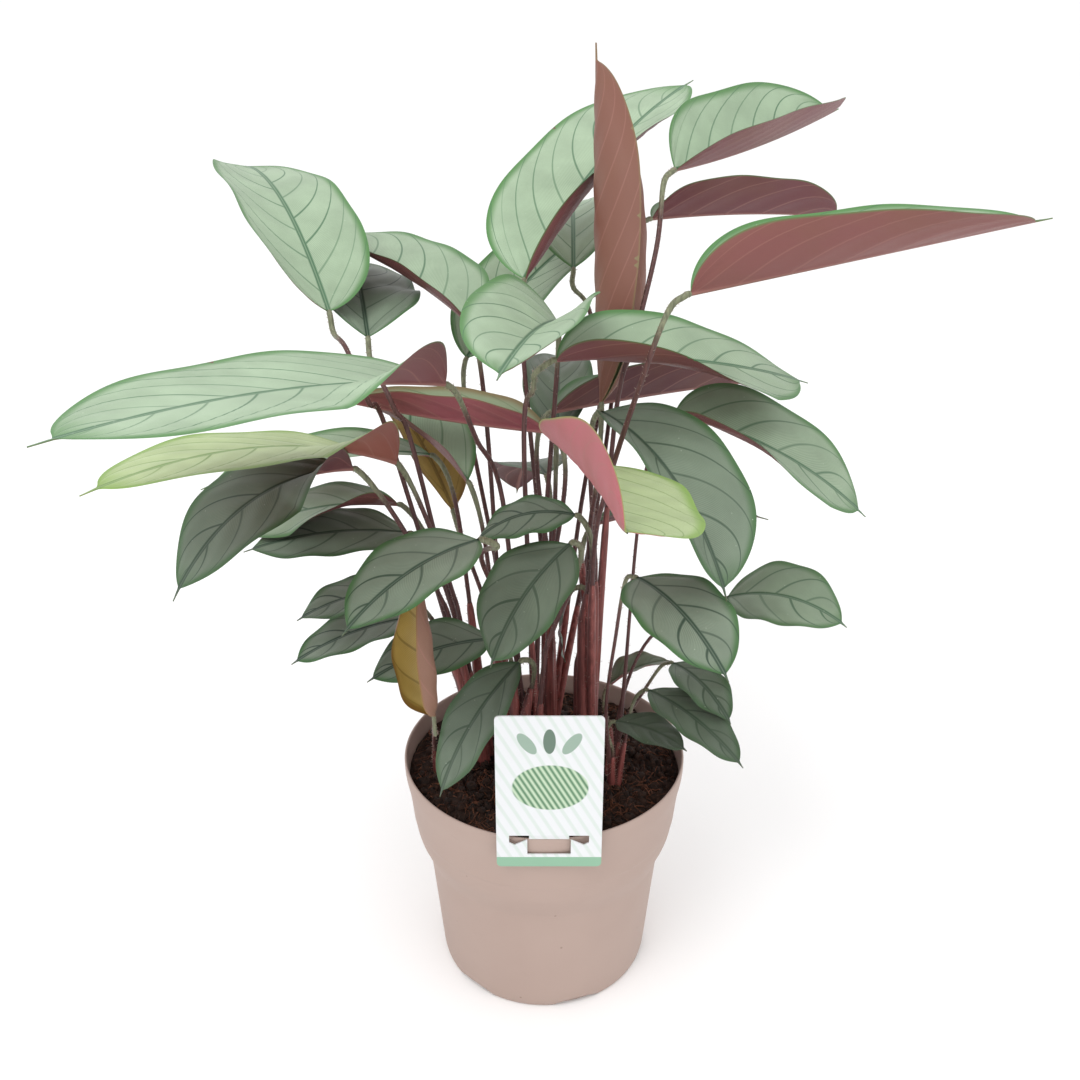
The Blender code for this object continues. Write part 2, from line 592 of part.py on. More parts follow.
def petiole_path(leaf, place, shoot):
    """From the crown up inside the sheath, then along a curve that comes up to the blade from
    below and ends in the blade's own direction."""
    points, along = midrib(leaf["base"], leaf["tip"], leaf["arch"], leaf["bow"], np.array([0.0]))
    end = points[0] - (GAP + 0.15) * along[0]
    neck = end - NECK * along[0]
    rising = unit(along[0] + (0.0, 0.0, JOINT_RISE))
    ground = np.array([*place, SOIL_HEIGHT - 6.0])
    if leaf["via"]:
        bend = neck - 0.5 * PULVINUS * rising
        path = through([ground, ground + (0, 0, 14), *leaf["via"], bend, neck], PETIOLE_POINTS + 4)
        return [*path, end]
    middle = np.array([*shoot["root"], SOIL_HEIGHT - 6.0])
    top = min(shoot["sheath"], ground[2] + 0.55 * (end[2] - ground[2]))
    lean = (end - middle) * (1, 1, 0)
    share = (top - ground[2]) / max(end[2] - ground[2], 1.0)
    start = np.array([*(ground + 0.45 * share * lean)[:2], top])
    reach = np.linalg.norm(neck - start)
    first = start + 0.35 * reach * unit(unit(start - ground) + unit(neck - start))
    second = neck - min(PULVINUS, 0.4 * reach) * rising
    t = np.linspace(0, 1, PETIOLE_POINTS)[:, None]
    path = (1 - t) ** 3 * start + 3 * t * (1 - t) ** 2 * first + 3 * t**2 * (1 - t) * second + t**3 * neck
    return [ground, *path, end]


def make_shoot(name, shoot, parts):
    """A crown in the soil with a sheath and a petiole for each of its leaves, fused."""
    leaves = [leaf for leaf in LEAVES.values() if leaf["shoot"] == name]
    material = new_material(f"shoot_{name}", STEM_MAROON, 0.5)
    foot = SOIL_HEIGHT - CROWN_DEPTH
    data = cylinder_mesh(f"shoot_{name}", shoot["crown"], foot, 146.0, shoot["root"], 16,
                         top_radius=0.7 * shoot["crown"])
    crown = new_object(f"shoot_{name}", data, parts, material)
    stems = []
    for i, leaf in enumerate(leaves):
        toward = np.arctan2(leaf["base"][1] - shoot["root"][1], leaf["base"][0] - shoot["root"][0])
        ring = 0.4 * shoot["crown"] if len(leaves) > 1 else 0.0
        place = shoot["root"] + ring * np.array([np.cos(toward), np.sin(toward)])
        path = petiole_path(leaf, place, shoot)
        radii = np.full(len(path), PETIOLE)
        radii[:2] = min(3.2, 0.6 * shoot["crown"]), 2.4
        stems.append(tube(f"stem_{name}_{i}", path, radii, parts))
    return fuse(crown, stems)


def main():
    clear_scene()
    parts = new_collection("potted_ctenanthe")
    cutters = new_collection("cutters")
    make_pot(parts, cutters)
    make_soil(parts, cutters)
    make_tag(parts)
    for name, shoot in SHOOTS.items():
        make_shoot(name, shoot, parts)
    for name, leaf in LEAVES.items():
        make_blade(f"leaf_{name}", leaf, parts)


main()
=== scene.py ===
import bpy
import numpy as np
from mathutils import Matrix


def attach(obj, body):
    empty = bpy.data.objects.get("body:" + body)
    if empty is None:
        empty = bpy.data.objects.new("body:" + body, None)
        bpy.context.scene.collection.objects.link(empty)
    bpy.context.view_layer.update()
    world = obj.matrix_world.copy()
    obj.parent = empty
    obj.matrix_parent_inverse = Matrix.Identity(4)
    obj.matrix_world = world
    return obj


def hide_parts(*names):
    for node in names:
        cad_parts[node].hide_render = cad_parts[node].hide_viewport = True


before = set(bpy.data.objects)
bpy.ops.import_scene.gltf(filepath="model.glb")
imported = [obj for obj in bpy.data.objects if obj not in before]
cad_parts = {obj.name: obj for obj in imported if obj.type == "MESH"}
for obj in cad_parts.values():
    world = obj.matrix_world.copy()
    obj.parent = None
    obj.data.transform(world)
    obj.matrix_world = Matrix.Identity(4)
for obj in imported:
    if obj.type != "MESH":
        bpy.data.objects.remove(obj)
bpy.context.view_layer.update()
print("frame loaded")

mm = 0.001
twoPi = 2 * np.pi


def hexColour(code):
    # sRGB hex to linear RGBA: below 0.04045 divide by 12.92, above it a 2.4 power.
    value = np.array([int(code[i:i + 2], 16) for i in (1, 3, 5)]) / 255
    linear = np.where(value <= 0.04045, value / 12.92, ((value + 0.055) / 1.055) ** 2.4)
    return (*map(float, linear), 1.0)


def addNode(tree, kind, links=(), values=(), **settings):
    # One node with its settings, its input values and its incoming links.
    node = tree.nodes.new(kind)
    for name, value in settings.items():
        setattr(node, name, value)
    for name, value in dict(values).items():
        node.inputs[name].default_value = value
    for name, socket in dict(links).items():
        tree.links.new(socket, node.inputs[name])
    return node


def newMaterial(name, **shaderValues):
    # A material with one Principled shader, and that shader's even values.
    made = bpy.data.materials.new(name)
    made.use_nodes = True
    shader = made.node_tree.nodes["Principled BSDF"]
    for socket, value in shaderValues.items():
        shader.inputs[socket.replace("_", " ")].default_value = value
    return made, made.node_tree, shader


def smooth(low, high, value):
    # 0 below low, 1 above high, and an S curve between them.
    x = np.clip((value - low) / (high - low), 0, 1)
    return x * x * (3 - 2 * x)


def unit(vectors):
    return vectors / np.maximum(np.linalg.norm(vectors, axis=-1, keepdims=True), 1e-9)


def gridQuads(rows, columns, start=0, closed=False):
    # Corner numbers of the quads of a rows by columns grid of points, row after row.
    i = np.arange(rows - 1)[:, None]
    j = np.arange(columns if closed else columns - 1)[None, :]
    k = (j + 1) % columns
    corners = [i * columns + j, i * columns + k, (i + 1) * columns + k, (i + 1) * columns + j]
    return np.stack(corners, axis=-1).reshape(-1, 4) + start


def addPiece(name, points, quads, materials, replaced=(), looks=None, values=None):
    # A mesh object from whole arrays: points in millimetres, quads, a material number for
    # each quad and named values for each point.
    data = bpy.data.meshes.new(name)
    data.vertices.add(len(points))
    data.vertices.foreach_set("co", (np.asarray(points) * mm).astype(np.float32).ravel())
    data.loops.add(quads.size)
    data.loops.foreach_set("vertex_index", quads.astype(np.int32).ravel())
    data.polygons.add(len(quads))
    data.polygons.foreach_set("loop_start", np.arange(len(quads), dtype=np.int32) * 4)
    data.polygons.foreach_set("use_smooth", np.ones(len(quads), bool))
    for material in materials:
        data.materials.append(material)
    if looks is not None:
        data.polygons.foreach_set("material_index", np.asarray(looks, np.int32))
    for key, value in (values or {}).items():
        value = np.asarray(value, np.float32)
        kind = "FLOAT" if value.ndim == 1 else "FLOAT_COLOR"
        data.attributes.new(key, kind, "POINT").data.foreach_set(
            "value" if value.ndim == 1 else "color", value.ravel())
    data.update(calc_edges=True)
    piece = bpy.data.objects.new(name, data)
    bpy.context.scene.collection.objects.link(piece)
    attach(piece, "root")
    if replaced:
        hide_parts(*replaced)
    return piece


def tubes(paths, radii, sides):
    # Round tubes carried along paths (tube, point, 3). Each ring stands square to its path:
    # one side is the path's direction crossed with the tube's own plane normal.
    along = unit(np.gradient(paths, axis=1))
    chord = paths[:, -1] - paths[:, 0]
    normal = np.cross(chord, (0.31, 0.17, 1.0))[:, None] + 1e-6
    first = unit(np.cross(along, normal))
    second = np.cross(along, first)
    turn = twoPi * np.arange(sides) / sides
    ring = np.cos(turn)[:, None] * first[:, :, None] + np.sin(turn)[:, None] * second[:, :, None]
    points = paths[:, :, None] + radii[:, :, None, None] * ring
    count, length = paths.shape[:2]
    quads = gridQuads(length, sides, closed=True)
    quads = (quads[None] + (np.arange(count) * length * sides)[:, None, None]).reshape(-1, 4)
    return points.reshape(-1, 3), quads


# Every blade is a grid: t runs along its midrib from 0 to 1, and s across it from -1 to 1.
bladeForm = {
    "widest": 0.42,        # share of the length where a blade is widest
    "bodyEnd": 0.95,       # share where the body runs out into the drip tip
    "baseHalf": 1.6,       # half width at the petiole
    "dripHalf": 0.8,       # half width where the drip tip starts
    "skin": 0.22,          # half thickness in the middle
    "ribHeight": 1.0,      # how far the midrib stands out below
    "ribGroove": 0.35,
    "quilt": 0.28,         # how far the strips between veins stand up
    "wave": 0.8,           # slow waves of the margin
    "rounded": ((2.6, 0.8), (2.4, 0.8)),     # how blunt a blade is before and beyond its widest
    "paddle": ((3.3, 0.62), (3.2, 0.66)),    # place, as two powers each
    "veinGap": 25.0,       # along the midrib, between main veins
    "veinLean": (0.2, 0.2),     # share of the length that a vein moves on: even part, cubed part
    "large": (81, 31),     # rows, columns
    "small": (53, 21),
}

# How each kind of blade is coloured: skin above, veins, margin, skin below. The shaded look is painted shade: a
# darker, greyer copy of the sage look for leaves that lie in the shade of others.
leafLooks = {
    "sage": {"skin": "#A3B79B", "vein": "#41694A", "edge": "#4F7F45", "under": "#774648"},
    "shaded": {"skin": "#8C9C88", "vein": "#294434", "edge": "#42703B", "under": "#653C40"},
    "yellow": {"skin": "#B4C494", "vein": "#718F50", "edge": "#7FA24A", "under": "#90564A"},
    "maroon": {"skin": "#8A9678", "vein": "#5B6E4A", "edge": "#7A6A48", "under": "#8E5355"},
    "withered": {"skin": "#B9A05A", "vein": "#7E6A35", "edge": "#8C6A35", "under": "#A98A4A"},
}

# Share of painted shade on a blade, for the shadow that the leaves above cast on it: 0 is as light as its look, 1
# is a dark, greyer green.
paintedShade = {
    "grey_left": 0.12, "top_left": 0.08, "top_left_inner": 0.1, "right_mid": 0.25, "right_low": 0.42,
    "front_right": 0.15, "right_hidden": 0.3, "right_under": 0.35, "front_drooping": 0.4,
    "back_mid": 0.55, "back_low": 0.5, "hanging_dark": 0.8, "left_dark": 0.4, "left_low_upper": 0.15,
    "left_low_under": 0.3, "front_left": 0.2, "left_dull_upper": 0.15, "left_dull_lower": 0.05,
    "left_round": 0.25, "front_dark": 0.55, "inner_pale": 0.2, "over_soil": 0.6, "soil_small": 0.9,
    "soil_right": 0.7, "soil_narrow": 0.6, "soil_maroon": 0.6, "right_upper": 0.1,
}
underTint = {"front_yellow": "#B4666C", "rolled_young": "#7F5446", "right_long": "#84504D",
             "right_behind": "#6C3C40", "inner_maroon": "#8F4B52", "rolled_old": "#8E6A58", "withering": "#A8752F"}

shoots = {
    "left": {"root": (-32, 0), "crown": 11, "sheath": 235},
    "back_left": {"root": (-21, 25), "crown": 9, "sheath": 230},
    "front": {"root": (-8, -16), "crown": 10, "sheath": 225},
    "back": {"root": (4, 22), "crown": 10, "sheath": 240},
    "main": {"root": (26, 0), "crown": 11, "sheath": 280},
    "right": {"root": (39.5, -20), "crown": 7.8, "sheath": 170},
    "rim": {"root": (-66, -8), "crown": 5, "sheath": 160},
}


def half(fold=5, tipFold=0, curl=5, tipCurl=None, fade=1.0):
    # One half of a blade, in degrees: its fold up from the midrib and its further curl, at the
    # base and then beyond the share of the length over which the base's shape fades.
    return {"fold": (fold, tipFold), "curl": (curl, curl if tipCurl is None else tipCurl), "fade": fade}


def blade(shoot, base, tip, width, arch=8, bow=0, roll=0, left=None, right=None, look="sage",
          share=0.5, via=(), rows=8, form="rounded"):
    # A blade and its petiole. The middle of the midrib stands arch above the straight line
    # from base to tip and bow to its left. Roll, in degrees, lowers the left half.
    return {"shoot": shoot, "base": base, "tip": tip, "width": width, "arch": arch, "bow": bow,
            "roll": roll, "left": left or half(), "right": right or half(), "look": look,
            "share": share, "via": via, "rows": rows, "form": form}


leaves = {
    # high leaves
    "top_left": blade("left", (-119, 44, 409), (-194, 203, 461), 76, 20, form="paddle",
                      left=half(5, 5, 60, 20), right=half(0, -5),
                      via=((-84, 8, 345), (-94, 0, 372), (-106, 14, 397))),
    "top_left_inner": blade("back_left", (-43, 53, 401), (-142, 178, 424), 66, 5, share=0.43,
                            left=half(35, 10, 35, 10), right=half(20, 0), form="paddle"),
    "top_back": blade("back", (-11, 56, 424), (97, 228, 511), 76, 10, bow=5, share=0.6,
                      left=half(12, 0), right=half(14, 5, 115, 12, 0.75), form="paddle"),
    "top_right": blade("main", (71, 67, 481), (190, 214, 495), 78, -4, form="paddle",
                       left=half(48, 40, 15), right=half(30, 25, 20),
                       via=((38, 13, 350), (49, 21, 402), (60, 39, 446))),
    "back_high": blade("back", (18, 130, 412), (20, 260, 425), 58, 14, left=half(15, 10), right=half(15, 10),
                       via=((22, 60, 280), (35, 98, 345), (28, 120, 388))),
    "grey_left": blade("left", (-99, 48, 393), (-126, 185, 404), 70, 10, look="shaded",
                       left=half(30, 5, 10), right=half(20, -15, 5, 5, 0.5), form="paddle",
                       via=((-70, 4, 335), (-80, -1, 368), (-90, 12, 384))),
    "rolled_young": blade("main", (32, 33, 360), (29, 123, 541), 100, 0, roll=-60, share=0.5,
                          left=half(0, 0, 95, 140), right=half(0, 0, 210), look="maroon"),
    # right
    "right_long": blade("main", (68, -55, 445), (238, -36, 476), 68, 0, form="paddle",
                        left=half(45, 8), right=half(55, 10, 50, 20),
                        via=((26, -34, 290), (31, -61, 350), (47, -64, 410))),
    "right_behind": blade("back", (66, 140, 440), (192, 178, 433), 66, 3, form="paddle",
                          left=half(10, 5), right=half(45, 35, 25, 20),
                          via=((32, 64, 280), (44, 105, 350), (57, 124, 405))),
    "right_upper": blade("front", (6, -15, 400), (147, 34, 371), 64, 8, bow=-7, share=0.49, form="paddle",
                         left=half(48, 8), right=half(0, -20, 110, 0, 0.75),
                         via=((-11, -12, 349), (-6, -14, 384))),
    "right_mid": blade("right", (70, 5, 363), (176, -10, 309), 62, 9, share=0.6, form="paddle",
                       left=half(25, 15), right=half(10, -15, 60, 0, 0.8)),
    "right_low": blade("right", (108, 15, 245), (172, -15, 242), 58, 10,
                       left=half(15, 12), right=half(-5, -5, 0), via=((46, -10, 190), (64, 4, 226))),
    "front_right": blade("right", (47, -70, 303), (86, -133, 281), 52, 8, look="shaded",
                         via=((35, -36, 200), (38, -54, 260))),
    "right_hidden": blade("main", (31, 30, 286), (133, 40, 284), 48, 8, look="shaded",
                          left=half(10, 0), right=half(35, 15, 15)),
    "right_under": blade("back", (4, 38, 352), (145, 114, 346), 56, 2, look="shaded", share=0.62,
                         left=half(10, 0), right=half(75, 60, 30)),
    # middle
    "front_heart": blade("front", (7, 23, 409), (-20, -144, 433), 66, 6, form="paddle",
                         left=half(28, 12, 20), right=half(55, 15)),
    "front_drooping": blade("main", (30, -8, 369), (88, -100, 306), 58, 18, look="shaded", share=0.62,
                            left=half(10, 5), right=half(30, 25), form="paddle"),
    "front_yellow": blade("main", (27, -66, 363), (28, -235, 408), 82, -6, look="yellow", share=0.46,
                          left=half(0, -12, 3), right=half(25, 75, 10, 30), form="paddle",
                          via=((24, -22, 290), (26, -48, 342))),
    "back_centre": blade("back_left", (-48, 117, 359), (40, 262, 411), 64, 10, form="paddle",
                         left=half(35, 15), right=half(15, 10)),
    "back_mid": blade("back", (7, 42, 335), (10, 165, 345), 44, 12, look="shaded",
                      left=half(15, 10), right=half(15, 10)),
    "back_low": blade("back", (1, 70, 300), (-18, 128, 262), 46, 14, look="shaded", rows=6),
    "hanging_dark": blade("main", (16, 15, 249), (13, 15, 200), 20, 5, look="shaded", rows=6),
    # left
    "left_long": blade("front", (-49, -50, 399), (-181, -222, 435), 78, 8, share=0.46, form="paddle",
                       left=half(45, 0, 60, 0, 0.45), right=half(12, -4),
                       via=((-22, -6, 310), (-36, -22, 360))),
    "left_yellow": blade("left", (-80, -10, 341), (-202, -134, 377), 66, 15, look="yellow",
                         left=half(60, 3, 40, 3, 0.4), right=half(0, -6, 3), form="paddle"),
    "left_pale": blade("left", (-67, 48, 322), (-195, 18, 313), 54, 10, left=half(15, 10), right=half(10, 5)),
    "left_dark": blade("left", (-100, -30, 346), (-180, -100, 306), 60, 20, look="shaded",
                       left=half(60, -3, 40, 3, 0.4), right=half(8, 5)),
    "left_low_upper": blade("left", (-84, 20, 303), (-182, 8, 286), 54, 8,
                            left=half(30, -5, 50, 5, 0.6), right=half(5, 0)),
    "left_low_under": blade("left", (-77, 5, 292), (-166, -15, 290), 54, 6, look="shaded",
                            left=half(0, -5, 0), right=half(5, 0)),
    "front_left": blade("front", (-32, -90, 334), (-93, -136, 308), 54, 8, look="shaded",
                        via=((-14, -10, 200), (-21, -20, 250), (-33, -52, 305))),
    "left_dull_upper": blade("left", (-82, -10, 263), (-137, -30, 255), 40, 5, look="shaded", rows=6),
    "left_dull_lower": blade("left", (-76, -15, 248), (-139, -45, 236), 40, 5, look="shaded", rows=6),
    "left_round": blade("front", (-30, -28, 242), (-97, -52, 229), 46, 6, look="shaded", share=0.42,
                        left=half(-12, -12, 0)),
    "front_dark": blade("front", (13, -50, 312), (-28, -85, 259), 56, 8, look="shaded"),
    "inner_pale": blade("main", (16, -31, 320), (-37, -34, 306), 36, 8, look="shaded", rows=6,
                        left=half(-15, -15)),
    "inner_maroon": blade("back", (2, 5, 353), (-118, 22, 366), 46, -2, look="maroon", share=0.42,
                          left=half(60, 55, 10), right=half(25, 15)),
    "inner_left": blade("back_left", (-44, 26, 315), (-125, 74, 347), 58, 12,
                        left=half(40, 25, 15), right=half(20, 15)),
    "withering": blade("back_left", (-56, 61, 281), (-101, 120, 338), 44, 6, look="withered",
                       left=half(30, 20, 20), right=half(20, 20, 20), rows=6),
    "rolled_old": blade("rim", (-60, -66, 217), (-64, -72, 306), 48, 0, roll=180, look="withered",
                        left=half(0, 0, 130), right=half(0, 0, 130),
                        via=((-66, -9, 152), (-64, -32, 180), (-61, -56, 202))),
    # close over the soil
    "over_soil": blade("front", (-14, -30, 228), (-59, -62, 159), 42, 8, look="shaded", rows=6),
    "soil_small": blade("right", (41, -33, 190), (80, -53, 184), 28, 4, look="shaded", rows=6),
    "soil_right": blade("right", (60, -25, 206), (109, -70, 185), 34, 6, look="shaded", rows=6),
    "soil_narrow": blade("right", (75, -10, 215), (104, -50, 200), 30, 6, look="shaded", rows=6,
                         via=((46, -17, 175), (58, -15, 199))),
    "soil_maroon": blade("right", (40, 7, 190), (77, 17, 200), 30, 4, look="maroon", rows=6,
                         right=half(35, 20, 10)),
}


def midribAt(leaf, t):
    # A parabola from base to tip: (1-t) squared base + 2t(1-t) bend + t squared tip, where the
    # bend lies twice the arch and bow away from the middle of the chord; and its direction.
    base, tip = np.array(leaf["base"], float), np.array(leaf["tip"], float)
    toLeft = unit(np.cross((0.0, 0.0, 1.0), tip - base))
    upward = unit(np.cross(tip - base, toLeft))
    bend = (base + tip) / 2 + 2 * (leaf["arch"] * upward + leaf["bow"] * toLeft)
    t = t[:, None]
    points = (1 - t) ** 2 * base + 2 * t * (1 - t) * bend + t**2 * tip
    return points, unit(2 * (1 - t) * (bend - base) + 2 * t * (tip - bend))


def widthShare(t, form):
    # Share of the full width: two superellipse quarters, blunt at the base and rounded at the
    # end, that meet at the widest place.
    widest, end = bladeForm["widest"], bladeForm["bodyEnd"]
    (near, nearEnd), (far, farEnd) = bladeForm[form]
    before = (1 - np.clip(1 - t / widest, 0, 1) ** near) ** nearEnd
    after = (1 - np.clip((t - widest) / (end - widest), 0, 1) ** far) ** farEnd
    return np.where(t < widest, before, after)


def bladeSurface(leaf, t, s):
    # The middle surface. Each half is an arc that leaves the midrib at the half's fold and turns
    # on by its curl: out = reach (sin far - sin fold) / curl, up = reach (cos fold - cos far) / curl.
    points, along = midribAt(leaf, t)
    side = unit(np.cross((0.0, 0.0, 1.0), along))
    up = np.cross(along, side)
    roll = np.radians(leaf["roll"])
    side, up = np.cos(roll) * side - np.sin(roll) * up, np.sin(roll) * side + np.cos(roll) * up
    angles = {}
    for key in ("left", "right"):
        near = np.clip(1 - t / leaf[key]["fade"], 0, 1)
        for part in ("fold", "curl"):
            start, end = leaf[key][part]
            angles[key, part] = np.radians(end + (start - end) * near)[:, None]
    fold = np.where(s < 0, angles["left", "fold"], angles["right", "fold"])
    curl = np.maximum(np.where(s < 0, angles["left", "curl"], angles["right", "curl"]), 0.002)
    share = np.where(s < 0, leaf["share"], 1 - leaf["share"])
    end = bladeForm["bodyEnd"]
    drip = bladeForm["dripHalf"] * (1 - 0.75 * smooth(end, 1, t))
    least = np.where(t < bladeForm["widest"], bladeForm["baseHalf"], drip)[:, None]
    reach = np.maximum(leaf["width"] * share * widthShare(t, leaf["form"])[:, None], least)
    far = fold + curl * np.abs(s)
    out = reach * (np.sin(far) - np.sin(fold)) / curl * -np.sign(s)
    rise = reach * (np.cos(fold) - np.cos(far)) / curl
    surface = points[:, None] + out[..., None] * side[:, None] + rise[..., None] * up[:, None]
    return surface, reach


def shadedColour(code, share, dark="#43523F"):
    # Painted shade: the colour moved towards a dark colour, a dark grey green unless another is given, by the
    # share.
    return (1 - share) * np.array(hexColour(code)) + share * np.array(hexColour(dark))


def makeBlade(name, leaf, materials, chance):
    # Two skins on the middle surface that meet at the margin: the upper one is grooved at the
    # midrib, the lower one has its rib, and both swell between the veins.
    form = bladeForm
    rows, columns = form["small"] if leaf["rows"] == 6 else form["large"]
    t = 0.5 - 0.5 * np.cos(np.pi * np.linspace(0, 1, rows))
    u = np.linspace(-1, 1, columns)
    s = (np.sign(u) * np.abs(u) ** 1.35)[None, :]
    middle, reach = bladeSurface(leaf, t, s)
    length = np.linalg.norm(np.diff(midribAt(leaf, t)[0], axis=0), axis=1).sum()
    fromRib = reach * np.abs(s)
    fromEdge = reach * (1 - np.abs(s))
    count = max(length / form["veinGap"], 4)
    even, cubed = form["veinLean"]
    phase = (t[:, None] - even * np.abs(s) - cubed * np.abs(s) ** 3) * count
    phase = phase + np.where(s < 0, 20.5, 40.0) + chance.uniform(-0.2, 0.2)
    normal = unit(np.cross(np.gradient(middle, axis=1), np.gradient(middle, axis=0)))
    inner = smooth(0, 5, fromRib) * smooth(0, 6, fromEdge)
    swell = -form["quilt"] * np.cos(twoPi * phase) * inner
    rounds = chance.uniform(2.2, 3.4)
    swing = np.where(s < 0, chance.uniform(0, twoPi), chance.uniform(0, twoPi))
    calm = smooth(0, 0.15, t)[:, None] * smooth(0, 0.12, 1 - t)[:, None]
    swell = swell + form["wave"] * np.sin(twoPi * rounds * t[:, None] + swing) * np.abs(s) ** 3 * calm
    skin = form["skin"] * np.sqrt(1 - s**4) + 0 * t[:, None]
    taper = (1 - 0.75 * t)[:, None]
    rib = form["ribHeight"] * taper * np.exp(-((fromRib / 1.0) ** 2)) * (1 - s**4)
    groove = form["ribGroove"] * taper * np.exp(-((fromRib / 0.9) ** 2)) * (1 - s**4)
    above = middle + normal * (swell + skin - groove)[..., None]
    below = middle + normal * (swell - skin - rib)[..., None]
    look = leafLooks[leaf["look"]]
    # Painted shade: the blade's colours are darkened by its share of painted shade, and the skin below by 0.6 of
    # that share, towards a dark red brown.
    paintedShadeShare = paintedShade.get(name, 0.0)
    tints = {key: shadedColour(look[key], paintedShadeShare) for key in ("skin", "vein", "edge")}
    tints["under"] = shadedColour(underTint.get(name, look["under"]), 0.6 * paintedShadeShare, "#33201F")
    size = 2 * rows * columns
    twice = lambda grid: np.tile(grid.ravel(), 2)
    values = {
        "phase": twice(phase), "fromRib": twice(fromRib), "fromEdge": twice(fromEdge),
        "along": twice(t[:, None] + 0 * s),
        "spacing": np.full(size, length / count * 0.8),
    }
    for key, tint in tints.items():
        values[key] = np.tile(tint, (size, 1))
    upper = gridQuads(rows, columns)
    lower = upper[:, ::-1] + rows * columns
    points = np.concatenate([above.reshape(-1, 3), below.reshape(-1, 3)])
    looks = np.repeat([0, 1], len(upper))
    return addPiece(f"blade_{name}", points, np.concatenate([upper, lower]), materials,
                    [f"leaf_{name}"], looks, values)


